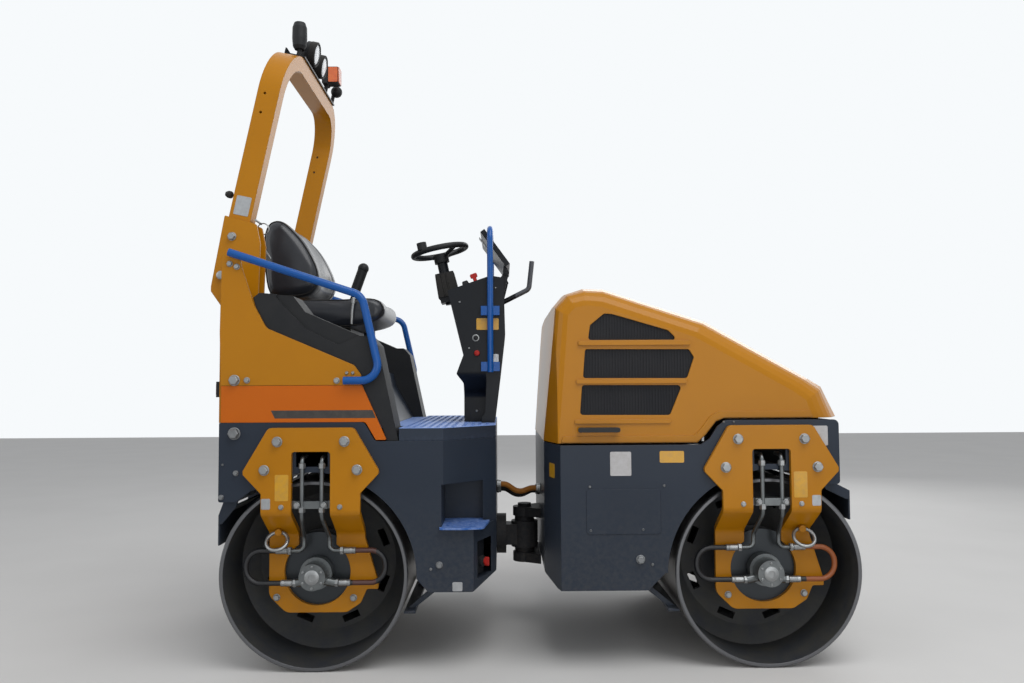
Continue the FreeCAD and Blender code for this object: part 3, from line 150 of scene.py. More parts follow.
paintLooks = {
    "yellowEnamel": {"base": "#B5780A", "shade": "#A66B07", "dustAndSheenHue": "#8A7044", "dustAndSheenAmount": 0.3, "dustTop": 0.55,
                     "topDustAndSheen": 0.12, "edge": 0.004, "edgeWearAndHighlight": 0.3, "edgeHighlightHue": "#D9A43E", "rough": 0.34, "peel": 0.1,
                     "coat": 0.15},
    "orangeEnamel": {"base": "#C46206", "shade": "#B75A05", "dustAndSheenHue": "#8E7A58", "dustAndSheenAmount": 0.2, "dustTop": 0.5,
                     "topDustAndSheen": 0.1, "edge": 0.003, "edgeWearAndHighlight": 0.25, "edgeHighlightHue": "#DC8428", "rough": 0.34, "peel": 0.1,
                     "coat": 0.15},
    "slateEnamel": {"base": "#2B333F", "shade": "#242B36", "dustAndSheenHue": "#5E5B55", "dustAndSheenAmount": 0.35, "dustTop": 0.7,
                    "topDustAndSheen": 0.35, "edge": 0.004, "edgeWearAndHighlight": 0.35, "edgeHighlightHue": "#4C5462", "rough": 0.42, "peel": 0.14,
                    "coat": 0.1},
    "blueEnamel": {"base": "#11549F", "shade": "#0E4A8E", "dustAndSheenHue": "#6A7890", "dustAndSheenAmount": 0.15, "dustTop": 0.6,
                   "topDustAndSheen": 0.15, "edge": 0.002, "edgeWearAndHighlight": 0.25, "edgeHighlightHue": "#4A7CBC", "rough": 0.3, "peel": 0.08,
                   "coat": 0.3},
    # floor and step blue: the pale blue-grey dust colour on top faces is dust with a painted sky sheen, and the pale
    # blue patch on the floor top is a painted sky reflection
    "blueEnamelDustAndPaintedSheen": {"base": "#2E62AC", "shade": "#244F92", "dustAndSheenHue": "#94A6D0", "dustAndSheenAmount": 0.9, "dustTop": 0.9,
                       "topDustAndSheen": 0.9, "edge": 0.003, "edgeWearAndHighlight": 0.6, "edgeHighlightHue": "#8A9CBC", "rough": 0.42, "peel": 0.1,
                       "coat": 0.1, "patches": [("#2B333F", {"Z": (0.56, 0.9185)}), ("#7E9FE0", {"Z": (0.9187, 0.93)})]},
    "blackEnamel": {"base": "#12161C", "shade": "#0D1014", "dustAndSheenHue": "#4E4C48", "dustAndSheenAmount": 0.25, "dustTop": 0.7,
                    "topDustAndSheen": 0.25, "edge": 0.003, "edgeWearAndHighlight": 0.4, "edgeHighlightHue": "#3A3E46", "rough": 0.4, "peel": 0.1,
                    "coat": 0.1, "patches": [("#53565C", {"X": (-0.046, 0.1), "side": (0.15, 0.21)})]},
    "greyIron": {"base": "#2C2D31", "shade": "#1F2124", "dustAndSheenHue": "#5A5248", "dustAndSheenAmount": 0.45, "dustTop": 0.7,
                 "topDustAndSheen": 0.4, "edge": 0.003, "edgeWearAndHighlight": 0.4, "edgeHighlightHue": "#5C5C5E", "rough": 0.55, "peel": 0.5,
                 "coat": 0.0},
}
paintLooks["hoodEnamel"] = {**paintLooks["yellowEnamel"], "patches": [  # black edge seals and handles
    ("#14171C", {"X": (0.03, 0.062), "Y": (0.404, 0.424)}),
    ("#15171B", {"X": (0.17, 0.345), "Y": (0.6012, 0.66), "Z": (0.884, 0.93)})]}
paintLooks["lampBarEnamel"] = {**paintLooks["blackEnamel"], "dustAndSheenHue": "#6B4020", "dustAndSheenAmount": 0.8, "topDustAndSheen": 0.9}
paints = {name: enamelPaint(name, look) for name, look in paintLooks.items()}
print("paints ready")


def dressNode(node, material):  # a node that only its own material covers
    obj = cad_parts[node]
    obj.data.materials.clear()
    obj.data.materials.append(material)


# ---- camera and light

cameraLook = {"place": (-148.1, -3791.1, 1082.4), "yaw": 0.0121, "pitch": 0.0521, "roll": -0.0055,
              "focalPixels": 826.46, "imageWide": 1024}


def makeCamera(look):
    ahead = Vector((math.sin(look["yaw"]) * math.cos(look["pitch"]), math.cos(look["yaw"]) * math.cos(look["pitch"]),
                    math.sin(look["pitch"])))
    right = Vector((math.cos(look["yaw"]), -math.sin(look["yaw"]), 0))
    up = right.cross(ahead)
    sideways = math.cos(look["roll"]) * right + math.sin(look["roll"]) * up
    upright = -math.sin(look["roll"]) * right + math.cos(look["roll"]) * up
    data = bpy.data.cameras.new("photographCamera")
    data.sensor_width = 36
    data.lens = look["focalPixels"] / look["imageWide"] * 36
    data.clip_end = 60
    camera = bpy.data.objects.new("photographCamera", data)
    bpy.context.collection.objects.link(camera)
    turn = Matrix((sideways, upright, -ahead)).transposed().to_4x4()
    camera.matrix_world = Matrix.Translation(spot(*look["place"])) @ turn
    bpy.context.scene.camera = camera


makeCamera(cameraLook)


def plainStage():
    mesh = bpy.data.meshes.new("studioFloor")
    half = 14
    mesh.from_pydata([(-half, -half, 0), (half, -half, 0), (half, half, 0), (-half, half, 0)], [], [(0, 1, 2, 3)])
    floor = bpy.data.objects.new("studioFloor", mesh)
    bpy.context.collection.objects.link(floor)
    material, tree, place = startMaterial("paleStudioFloor")
    cloud = addNode(tree, "ShaderNodeTexNoise", {"Scale": 1.5, "Detail": 3}, {"Vector": place})
    hue = addNode(tree, "ShaderNodeMix", {"data_type": "RGBA", 6: linearColour("#C9C8C6"), 7: linearColour("#D2D1CF")},
                  {0: cloud.outputs["Fac"]})
    shader = addNode(tree, "ShaderNodeBsdfPrincipled", {"Roughness": 0.8}, {"Base Color": hue.outputs[2]})
    endMaterial(tree, shader)
    mesh.materials.append(material)
    world = bpy.data.worlds.new("paleStudioWorld")
    bpy.context.scene.world = world
    world.use_nodes = True
    tree = world.node_tree
    tree.nodes.clear()
    path = addNode(tree, "ShaderNodeLightPath")
    straight = addNode(tree, "ShaderNodeMath", {"operation": "MAXIMUM"},
                       {0: path.outputs["Is Camera Ray"], 1: path.outputs["Is Transmission Ray"]})
    seen = addNode(tree, "ShaderNodeMath", {"operation": "MAXIMUM"},
                   {0: straight.outputs[0], 1: path.outputs["Is Glossy Ray"]})
    soft = addNode(tree, "ShaderNodeBackground", {"Color": linearColour("#F4F6FA"), "Strength": 0.5})
    white = addNode(tree, "ShaderNodeBackground", {"Color": linearColour("#F7FAFC"), "Strength": 1.0})
    both = addNode(tree, "ShaderNodeMixShader", {}, {0: seen.outputs[0], 1: soft.outputs[0], 2: white.outputs[0]})
    addNode(tree, "ShaderNodeOutputWorld", {}, {"Surface": both.outputs[0]})


def softLamp(name, place, aim, size, power):
    data = bpy.data.lights.new(name, "AREA")
    data.shape = "DISK"
    data.size = size
    data.energy = power
    lamp = bpy.data.objects.new(name, data)
    bpy.context.collection.objects.link(lamp)
    lamp.location = place
    lamp.rotation_euler = (Vector(aim) - Vector(place)).to_track_quat("-Z", "Y").to_euler()


lampRows = [  # name, place, aim, disc size, watts
    ("highSoftbox", (1.5, -3.0, 6.0), (0, 0, 0.9), 5.0, 220),
    ("frontSoftbox", (1.5, -6.5, 0.9), (0, 0, 0.7), 4.0, 60),
    ("leftSoftbox", (-5.0, -3.0, 2.6), (0, 0, 1.0), 3.5, 30),
    ("farSoftbox", (2.5, 5.0, 3.5), (0, 0, 1.0), 4.0, 70)]

plainStage()
for lampRow in lampRows:
    softLamp(*lampRow)
scene = bpy.context.scene
scene.view_settings.view_transform = "Standard"
print("camera and lamps ready")


# ---- finishes for single pieces

# rolled drum shell: bright and scoured where it meets the road, dull dark enamel inside, a polished lip
def rolledSteel(name, look):
    material, tree, place = startMaterial(name)
    parts = addNode(tree, "ShaderNodeSeparateXYZ", {}, {"Vector": place})
    centred = addNode(tree, "ShaderNodeMath", {"operation": "SUBTRACT", 1: axleShift / 1000}, {0: parts.outputs["X"]})
    away = addNode(tree, "ShaderNodeMath", {"operation": "ABSOLUTE"}, {0: centred.outputs[0]})
    across = addNode(tree, "ShaderNodeMath", {"operation": "SUBTRACT", 1: look["axleX"]}, {0: away.outputs[0]})
    above = addNode(tree, "ShaderNodeMath", {"operation": "SUBTRACT", 1: look["axleZ"]}, {0: parts.outputs["Z"]})
    spoke = addNode(tree, "ShaderNodeCombineXYZ", {}, {"X": across.outputs[0], "Y": above.outputs[0]})
    radius = addNode(tree, "ShaderNodeVectorMath", {"operation": "LENGTH"}, {0: spoke.outputs[0]})
    angle = addNode(tree, "ShaderNodeMath", {"operation": "ARCTAN2"}, {0: above.outputs[0], 1: across.outputs[0]})
    outer = addNode(tree, "ShaderNodeMapRange", {"From Min": look["treadFrom"], "From Max": look["treadFrom"] + 0.002},
                    {"Value": radius.outputs["Value"]})
    side = addNode(tree, "ShaderNodeMath", {"operation": "ABSOLUTE"}, {0: parts.outputs["Y"]})
    wrapped = addNode(tree, "ShaderNodeCombineXYZ", {}, {
        "X": addNode(tree, "ShaderNodeMath", {"operation": "MULTIPLY", 1: 1.2}, {0: angle.outputs[0]}).outputs[0],
        "Y": addNode(tree, "ShaderNodeMath", {"operation": "MULTIPLY", 1: 90.0}, {0: parts.outputs["Y"]}).outputs[0]})
    streaks = addNode(tree, "ShaderNodeTexNoise", {"Scale": 1.6, "Detail": 6, "Roughness": 0.75},
                      {"Vector": wrapped.outputs[0]})
    scour = addNode(tree, "ShaderNodeMix", {"data_type": "RGBA", 6: linearColour(look["treadDark"]),
                                            7: linearColour(look["treadPale"])}, {0: streaks.outputs["Fac"]})
    grime = addNode(tree, "ShaderNodeTexNoise", {"Scale": 9, "Detail": 7, "Roughness": 0.7}, {"Vector": place})
    spread = addNode(tree, "ShaderNodeMapRange", {"From Min": 0.35, "From Max": 0.7}, {"Value": grime.outputs["Fac"]})
    inside = addNode(tree, "ShaderNodeMix", {"data_type": "RGBA", 6: linearColour(look["insideDark"]),
                                             7: linearColour(look["insideDust"])}, {0: spread.outputs[0]})
    hue = addNode(tree, "ShaderNodeMix", {"data_type": "RGBA"},
                  {0: outer.outputs[0], 6: inside.outputs[2], 7: scour.outputs[2]})
    lip = addNode(tree, "ShaderNodeMapRange", {"From Min": look["lipFrom"], "From Max": look["lipFrom"] + 0.003},
                  {"Value": side.outputs[0]})
    polished = addNode(tree, "ShaderNodeMix", {"data_type": "RGBA", 7: linearColour(look["lip"])},
                       {0: lip.outputs[0], 6: hue.outputs[2]})
    metal = addNode(tree, "ShaderNodeMath", {"operation": "MAXIMUM"}, {0: outer.outputs[0], 1: lip.outputs[0]})
    metallic = addNode(tree, "ShaderNodeMath", {"operation": "MULTIPLY", 1: 0.8}, {0: metal.outputs[0]})
    rough = addNode(tree, "ShaderNodeMapRange", {"To Min": 0.6, "To Max": 0.34}, {"Value": metal.outputs[0]})
    rounded = addNode(tree, "ShaderNodeBevel", {"samples": 3, "Radius": 0.003})
    bump = addNode(tree, "ShaderNodeBump", {"Strength": 0.25, "Distance": 0.0008},
                   {"Height": streaks.outputs["Fac"], "Normal": rounded.outputs[0]})
    shader = addNode(tree, "ShaderNodeBsdfPrincipled", {"IOR": 1.5},
                     {"Base Color": polished.outputs[2], "Metallic": metallic.outputs[0],
                      "Roughness": rough.outputs[0], "Normal": bump.outputs[0]})
    endMaterial(tree, shader)
    return material


# zinc plate and bare steel: pale, slightly blotched metal that goes dull where dust holds
def zincPlate(name, look):
    material, tree, place = startMaterial(name)
    blotch = addNode(tree, "ShaderNodeTexNoise", {"Scale": look["blotch"], "Detail": 5, "Roughness": 0.6},
                     {"Vector": place})
    hue = addNode(tree, "ShaderNodeMix", {"data_type": "RGBA", 6: linearColour(look["dull"]),
                                          7: linearColour(look["bright"])}, {0: blotch.outputs["Fac"]})
    rough = addNode(tree, "ShaderNodeMapRange", {"From Min": 0.3, "From Max": 0.7, "To Min": look["rough"] + 0.15,
                                                 "To Max": look["rough"]}, {"Value": blotch.outputs["Fac"]})
    rounded = addNode(tree, "ShaderNodeBevel", {"samples": 3, "Radius": 0.0015})
    shader = addNode(tree, "ShaderNodeBsdfPrincipled", {"Metallic": 0.9}, {
        "Base Color": hue.outputs[2], "Roughness": rough.outputs[0], "Normal": rounded.outputs[0]})
    endMaterial(tree, shader)
    return material


# moulded and soft black goods: a fine grain breaks up the gloss, dust greys what faces up, and on the seat vinyl this
# grey-blue tint is also a painted highlight
def grainedBlack(name, look):
    material, tree, place = startMaterial(name)
    grain = addNode(tree, "ShaderNodeTexVoronoi", {"Scale": 1000 / look["grainMm"]}, {"Vector": place})
    haze = addNode(tree, "ShaderNodeTexNoise", {"Scale": 7, "Detail": 5, "Roughness": 0.65}, {"Vector": place})
    facing = addNode(tree, "ShaderNodeSeparateXYZ", {}, {
        "Vector": addNode(tree, "ShaderNodeNewGeometry").outputs["Normal"]}).outputs["Z"]
    upward = addNode(tree, "ShaderNodeMapRange", {"From Min": 0.3, "From Max": 1.0, "To Min": 0.25,
                                                  "To Max": look["dustAndSheenAmount"] + 0.25}, {"Value": facing})
    film = addNode(tree, "ShaderNodeMath", {"operation": "MULTIPLY"}, {0: upward.outputs[0], 1: haze.outputs["Fac"]})
    base = addNode(tree, "ShaderNodeRGB")
    base.outputs[0].default_value = linearColour(look["base"])
    plain = patchedHue(tree, place, base.outputs[0], look.get("patches", []))
    hue = addNode(tree, "ShaderNodeMix", {"data_type": "RGBA", 7: linearColour(look["dustAndSheenHue"])},
                  {0: film.outputs[0], 6: plain})
    rounded = addNode(tree, "ShaderNodeBevel", {"samples": 3, "Radius": look["edge"]})
    bump = addNode(tree, "ShaderNodeBump", {"Strength": look["bump"], "Distance": 0.0005},
                   {"Height": grain.outputs["Distance"], "Normal": rounded.outputs[0]})
    shader = addNode(tree, "ShaderNodeBsdfPrincipled", {
        "IOR": 1.5, "Specular IOR Level": 0.2, "Roughness": look["rough"], "Coat Weight": look.get("coat", 0),
        "Coat Roughness": 0.2, "Sheen Weight": look["sheen"], "Sheen Roughness": 0.4},
        {"Base Color": hue.outputs[2], "Normal": bump.outputs[0]})
    endMaterial(tree, shader)
    return material


# one material for the motor node: zinc where the pipes and castings are, black rubber where the hose loops are, with a
# painted brown highlight on the right-hand loops
def plumbedMotor(name, look):
    material, tree, place = startMaterial(name)
    parts = addNode(tree, "ShaderNodeSeparateXYZ", {}, {"Vector": place})
    centred = addNode(tree, "ShaderNodeMath", {"operation": "SUBTRACT", 1: axleShift / 1000}, {0: parts.outputs["X"]})
    away = addNode(tree, "ShaderNodeMath", {"operation": "ABSOLUTE"}, {0: centred.outputs[0]})
    across = addNode(tree, "ShaderNodeMath", {"operation": "SUBTRACT", 1: look["axleX"]}, {0: away.outputs[0]})
    reach = addNode(tree, "ShaderNodeMath", {"operation": "ABSOLUTE"}, {0: across.outputs[0]})
    side = addNode(tree, "ShaderNodeMath", {"operation": "ABSOLUTE"}, {0: parts.outputs["Y"]})
    loop = addNode(tree, "ShaderNodeMath", {"operation": "GREATER_THAN", 1: look["loopFrom"]}, {0: reach.outputs[0]})
    proud = addNode(tree, "ShaderNodeMath", {"operation": "GREATER_THAN", 1: look["proudFrom"]}, {0: side.outputs[0]})
    lower = addNode(tree, "ShaderNodeMath", {"operation": "LESS_THAN", 1: look["below"]}, {0: parts.outputs["Z"]})
    both = addNode(tree, "ShaderNodeMath", {"operation": "MULTIPLY"}, {0: loop.outputs[0], 1: proud.outputs[0]})
    hose = addNode(tree, "ShaderNodeMath", {"operation": "MULTIPLY"}, {0: both.outputs[0], 1: lower.outputs[0]})
    blotch = addNode(tree, "ShaderNodeTexNoise", {"Scale": 30, "Detail": 5}, {"Vector": place})
    metalHue = addNode(tree, "ShaderNodeMix", {"data_type": "RGBA", 6: linearColour(look["dull"]),
                                               7: linearColour(look["bright"])}, {0: blotch.outputs["Fac"]})
    deep = addNode(tree, "ShaderNodeMath", {"operation": "LESS_THAN", 1: look["deepBelow"]}, {0: side.outputs[0]})
    castHue = addNode(tree, "ShaderNodeMix", {"data_type": "RGBA", 7: linearColour(look["cast"])},
                      {0: deep.outputs[0], 6: metalHue.outputs[2]})
    rubberHue = addNode(tree, "ShaderNodeRGB")
    rubberHue.outputs[0].default_value = linearColour(look["rubber"])
    hue = addNode(tree, "ShaderNodeMix", {"data_type": "RGBA"}, {
        0: hose.outputs[0], 6: castHue.outputs[2], 7: patchedHue(tree, place, rubberHue.outputs[0], look["patches"])})
    metallic = addNode(tree, "ShaderNodeMath", {"operation": "SUBTRACT", 0: 0.9}, {1: hose.outputs[0]})
    metallic.use_clamp = True
    weave = addNode(tree, "ShaderNodeTexWave", {"Scale": 260, "Distortion": 0.5, "bands_direction": "DIAGONAL"},
                    {"Vector": place})
    braid = addNode(tree, "ShaderNodeMath", {"operation": "MULTIPLY"}, {0: weave.outputs["Fac"], 1: hose.outputs[0]})
    bump = addNode(tree, "ShaderNodeBump", {"Strength": 0.3, "Distance": 0.0006}, {"Height": braid.outputs[0]})
    shader = addNode(tree, "ShaderNodeBsdfPrincipled", {"Roughness": look["rough"]}, {
        "Base Color": hue.outputs[2], "Metallic": metallic.outputs[0], "Normal": bump.outputs[0]})
    endMaterial(tree, shader)
    return material


drumSteel = rolledSteel("scouredDrumSteel", {
    "axleX": 0.869, "axleZ": 0.36, "treadFrom": 0.352, "lipFrom": 0.594, "treadDark": "#5E5B58", "treadPale": "#8A8683",
    "insideDark": "#2A2D33", "insideDust": "#3E3D38", "lip": "#68696C"})
plating = zincPlate("zincPlatedSteel", {"blotch": 26, "dull": "#7A7C7E", "bright": "#A6A8A8", "rough": 0.32})
brightRod = zincPlate("chromedRod", {"blotch": 12, "dull": "#C8CACC", "bright": "#E2E4E6", "rough": 0.12})
darkBolt = zincPlate("oiledBoltSteel", {"blotch": 40, "dull": "#5E6062", "bright": "#8C8E90", "rough": 0.38})
motorMetal = plumbedMotor("motorAndHoses", {
    "axleX": 0.869, "loopFrom": 0.112, "proudFrom": 0.545, "below": 0.47, "deepBelow": 0.52, "dull": "#54575A",
    "bright": "#7C8080", "cast": "#3A3D40", "rubber": "#15161A", "rough": 0.36,
    # painted highlight: brown on the outer arc of each motor's right-hand hose loop
    "patches": [("#8A4A20", {"X": (1.06, 1.2), "side": (-0.66, -0.45)}), ("#4A2A24", {"X": (-0.69, -0.6),
                                                                             "side": (-0.66, -0.45)})]})
mouldedAbs = grainedBlack("mouldedBlackAbs", {"grainMm": 2.2, "dustAndSheenAmount": 0.25, "base": "#13161B", "dustAndSheenHue": "#52504C",
                                              "edge": 0.004, "bump": 0.25, "rough": 0.5, "sheen": 0.0})
# seat vinyl: the grey-blue tint on upward faces is dust and a painted highlight of the sky on the shiny vinyl
seatVinyl = grainedBlack("grainedSeatVinyl", {"grainMm": 1.8, "dustAndSheenAmount": 0.15, "base": "#14171D", "dustAndSheenHue": "#54575E",
                                              "edge": 0.003, "bump": 0.2, "rough": 0.34, "sheen": 0.1, "coat": 0.45})
blackRubber = grainedBlack("blackRubber", {"grainMm": 3, "dustAndSheenAmount": 0.35, "base": "#131417", "dustAndSheenHue": "#5E5A52",
                                           "edge": 0.002, "bump": 0.15, "rough": 0.65, "sheen": 0.0})
jointRubber = grainedBlack("jointHoseRubber", {"grainMm": 3, "dustAndSheenAmount": 0.35, "base": "#141519", "dustAndSheenHue": "#5E5A52",
                                               "edge": 0.001, "bump": 0.15, "rough": 0.55, "sheen": 0.0,
                                               "patches": [("#A8691A", {"side": (-0.09, -0.056)})]})
nodeFinishes = {
    "yellowEnamel": "rear_yoke_right rear_yoke_left front_yoke_right front_yoke_left side_panels rear_panel "
                    "rops_brackets rops_hoop",
    "hoodEnamel": "hood",
    "orangeEnamel": "side_bands",
    "slateEnamel": "rear_frame front_frame seat_platform rear_scrapers front_scrapers",
    "blueEnamel": "seat_rails console_hoop",
    "blueEnamelDustAndPaintedSheen": "step_plates operator_floor",
    "blackEnamel": "console panel_cover",
    "lampBarEnamel": "lamp_bar",
    "greyIron": "centre_swivel centre_fork steer_barrel engine"}
for paintName, nodes in nodeFinishes.items():
    for node in nodes.split():
        dressNode(node, paints[paintName])
for finish, nodes in ((drumSteel, "rear_drum front_drum"), (brightRod, "steer_rod"),
                      (motorMetal, "rear_motor_right rear_motor_left front_motor_right front_motor_left"),
                      (mouldedAbs, "side_consoles seat_base travel_lever steering_wheel work_lamps beacons rear_lamps"),
                      (seatVinyl, "seat_cushion seat_back"), (jointRubber, "joint_hoses"), (blackRubber, "hood_grilles")):
    for node in nodes.split():
        dressNode(node, finish)
for ringNode in ("rear_tie_rings", "front_tie_rings"):
    dressNode(ringNode, plating)
print("nodes dressed")

# ---- shapes for added pieces

upright = Vector((0, 0, 1))


def finishPiece(name, bm, material, body):
    bmesh.ops.recalc_face_normals(bm, faces=bm.faces)
    mesh = bpy.data.meshes.new(name)
    bm.to_mesh(mesh)
    bm.free()
    mesh.shade_smooth()
    mesh.set_sharp_from_angle(angle=math.radians(35))
    mesh.materials.append(material)
    piece = bpy.data.objects.new(name, mesh)
    bpy.context.collection.objects.link(piece)
    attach(piece, body)
    return piece


def skinRings(bm, rings, closed=False):  # quads from ring to ring, and caps where the row of rings is open
    pairs = list(zip(rings, rings[1:])) + ([(rings[-1], rings[0])] if closed else [])
    for low, high in pairs:
        for i in range(len(low)):
            j = (i + 1) % len(low)
            bm.faces.new((low[i], low[j], high[j], high[i]))
    if not closed:
        bm.faces.new(rings[-1])
        bm.faces.new(list(reversed(rings[0])))


def latheForm(bm, rows, place, out, steps=24):  # rows of radius and height in mm, turned about out
    turn = Vector(out).to_track_quat("Z", "Y").to_matrix()
    rings = []
    for radius, height in rows:
        angles = [2 * math.pi * i / steps for i in range(steps)]
        rings.append([bm.verts.new(place + turn @ Vector((radius * math.cos(a), radius * math.sin(a), height)) / 1000)
                      for a in angles])
    skinRings(bm, rings)


def plateForm(bm, outline, place, out, thick, edge=0.0, up=upright):  # outline in mm across and up, raised along out
    out = Vector(out).normalized()
    right = up.cross(out).normalized()
    tall = out.cross(right)
    middle = sum((Vector(corner) for corner in outline), Vector((0, 0))) / len(outline)
    rings = []
    for rise, inset in [(0, 0), (thick - edge, 0)] + ([(thick, edge)] if edge else []):
        ring = []
        for corner in outline:
            local = Vector(corner)
            local -= (local - middle).normalized() * inset
            ring.append(bm.verts.new(place + (right * local.x + tall * local.y + out * rise) / 1000))
        rings.append(ring)
    skinRings(bm, rings)


def roundedRect(width, height, corner, steps=4):
    outline = []
    for quarter, (sx, sy) in enumerate(((1, 1), (-1, 1), (-1, -1), (1, -1))):
        for i in range(steps + 1):
            angle = math.pi / 2 * (quarter + i / steps)
            outline.append((sx * (width / 2 - corner) + corner * math.cos(angle),
                            sy * (height / 2 - corner) + corner * math.sin(angle)))
    return outline


def tubeForm(bm, points, radius, closed=False, steps=10):  # round tube along points in metres, radius in mm
    rings = []
    count = len(points)
    side = None
    for i, here in enumerate(points):
        before = points[i - 1] if closed or i else here
        after = points[(i + 1) % count] if closed or i < count - 1 else here
        along = (after - before).normalized()
        side = (side or along.orthogonal())
        side = (side - along * side.dot(along)).normalized()
        across = along.cross(side)
        rings.append([bm.verts.new(here + (side * math.cos(a) + across * math.sin(a)) * radius / 1000)
                      for a in (2 * math.pi * k / steps for k in range(steps))])
    skinRings(bm, rings, closed)


def hexBolt(bm, place, out, size):  # size is the spanner size
    latheForm(bm, [(0.66 * size, 0), (0.66 * size, 0.09 * size), (0.62 * size, 0.12 * size)], place, out)
    latheForm(bm, [(0.577 * size, 0.1 * size), (0.577 * size, 0.5 * size), (0.48 * size, 0.6 * size)], place, out, 6)


def domeScrew(bm, place, out, size):  # size is the head's diameter, with a socket sunk in it
    latheForm(bm, [(0.5 * size, 0), (0.47 * size, 0.2 * size), (0.36 * size, 0.36 * size), (0.24 * size, 0.4 * size),
                   (0.22 * size, 0.2 * size)], place, out, 16)


# ---- bolts and screws

def boltGroup(name, body, look):
    bm = bmesh.new()
    for side in look["sides"]:
        for x, z, size in look["rows"]:
            head = hexBolt if size >= 15 else domeScrew
            head(bm, spot(x, side * look["y"], z), (0, side, 0), size)
    return finishPiece(name, bm, look.get("metal", darkBolt), body)


wheelbaseHalf = 869
yokeBolts = {"sides": (-1, 1), "y": 660,
             "rows": [(-126, 872, 30), (126, 872, 30), (-174, 766, 30), (174, 766, 30), (-110, 628, 15), (110, 628, 15)]}
footBolts = {"sides": (-1, 1), "y": 530, "rows": [(157, 264, 21), (-140, 260, 21)]}  # outboard is positive
for end, body, ahead in (("rear", "rear_frame", -1), ("front", "front_frame", 1)):
    for part, look in (("YokeBolts", yokeBolts), ("FootBolts", footBolts)):
        rows = [(ahead * (wheelbaseHalf + x), z, size) for x, z, size in look["rows"]]
        boltGroup(end + part, body, {**look, "rows": rows, "metal": plating})

frameBolts = {  # rows of x, height and size on each upright face
    "rearFrameBolts": ("rear_frame", {"sides": (-1, 1), "y": 640, "rows": [
        (-1162, 903, 36), (-1155, 754, 16), (-1209, 664, 15), (-1205, 786, 9), (-388, 406, 20), (-420, 391, 12)]}),
    "frontFrameScrews": ("front_frame", {"sides": (-1, 1), "y": 640, "rows": [
        (182, 694, 11), (464, 697, 11), (184, 530, 11), (382, 532, 11), (371, 421, 26), (416, 402, 12),
        (695, 936, 9), (733, 936, 9)]}),
    "sidePanelScrews": ("rear_frame", {"sides": (-1, 1), "y": 640, "metal": plating, "rows": [
        (-1164, 1104, 32), (-1117, 1104, 18), (-777, 1101, 18), (-739, 1130, 14), (-716, 1130, 14), (-1187, 1549, 18),
        (-1160, 1538, 18)]})}
for name, (body, look) in frameBolts.items():
    boltGroup(name, body, look)
print("bolts ready")


# ---- films and small plates

# blank label film: a flat colour under a thin clear face, soiled and slightly lifted by the paint below
def labelFilm(name, look):
    material, tree, place = startMaterial(name)
    soil = addNode(tree, "ShaderNodeTexNoise", {"Scale": 34, "Detail": 7, "Roughness": 0.75}, {"Vector": place})
    spread = addNode(tree, "ShaderNodeMapRange", {"From Min": 0.42, "From Max": 0.75, "To Max": look["soil"]},
                     {"Value": soil.outputs["Fac"]})
    hue = addNode(tree, "ShaderNodeMix", {"data_type": "RGBA", 6: linearColour(look["base"]), 7: linearColour("#6E6558")},
                  {0: spread.outputs[0]})
    wavy = addNode(tree, "ShaderNodeTexNoise", {"Scale": 90, "Detail": 2}, {"Vector": place})
    bump = addNode(tree, "ShaderNodeBump", {"Strength": 0.2, "Distance": 0.0004}, {"Height": wavy.outputs["Fac"]})
    shader = addNode(tree, "ShaderNodeBsdfPrincipled", {"IOR": 1.5, "Roughness": look["rough"], "Coat Weight": 0.3},
                     {"Base Color": hue.outputs[2], "Normal": bump.outputs[0]})
    endMaterial(tree, shader)
    return material


whiteFilm = labelFilm("blankWhiteFilm", {"base": "#B0AFB0", "soil": 0.35, "rough": 0.4})
yellowFilm = labelFilm("blankYellowFilm", {"base": "#C9940A", "soil": 0.35, "rough": 0.35})
stripeFilm = labelFilm("darkStripeFilm", {"base": "#1E1813", "soil": 0.2, "rough": 0.4})
typePlate = zincPlate("blankTypePlate", {"blotch": 60, "dull": "#8C8E90", "bright": "#B2B4B6", "rough": 0.35})
nearSide = (0, -1, 0)
bevelOut = (-0.974, -0.226, 0)
labelRows = [  # name, body, middle in mm, outward direction, width, height, film
    ("frontPaleLabel", "front_frame", (300, -640, 780), nearSide, 80, 91, whiteFilm),
    ("frontYellowLabel", "front_frame", (495, -640, 805), nearSide, 93, 44, yellowFilm),
    ("hoodEndPaleLabel", "front_frame", (1061, -640, 882), nearSide, 62, 75, whiteFilm),
    ("cornerYellowLabel", "front_frame", (45.5, -530, 746), bevelOut, 70, 55, yellowFilm),
    ("rearYokeYellowLabel", "rear_frame", (-977, -660, 700), nearSide, 51, 98, yellowFilm),
    ("frontYokeYellowLabel", "front_frame", (977, -660, 700), nearSide, 51, 98, yellowFilm),
    ("consoleYellowLabel", "rear_frame", (-210, -235, 1344), nearSide, 96, 50, yellowFilm),
    ("rearFrameTypePlate", "rear_frame", (-320, -640, 325), nearSide, 38, 34, typePlate),
    ("rearYokeTypePlate", "rear_frame", (-1036, -660, 640), nearSide, 34, 40, typePlate),
    ("frontYokeTypePlate", "front_frame", (1036, -660, 640), nearSide, 34, 40, typePlate),
    ("consoleTypePlate", "rear_frame", (-176, -235, 1193), nearSide, 26, 42, typePlate)]
for name, body, middle, out, width, height, film in labelRows:
    bm = bmesh.new()
    plateForm(bm, roundedRect(width, height, 5), spot(*middle), out, 0.8, 0.3)
    finishPiece(name, bm, film, body)


def bandStripe(look):  # dark film along each orange band, leaning with the band's front edge
    bm = bmesh.new()
    x, z = look["middle"]
    for side in (-1, 1):
        outline = [(-side * (cornerX - x), cornerZ - z) for cornerX, cornerZ in look["corners"]]
        plateForm(bm, outline, spot(x, side * look["y"], z), (0, side, 0), look["thick"])
    finishPiece("bandStripes", bm, stripeFilm, "rear_frame")


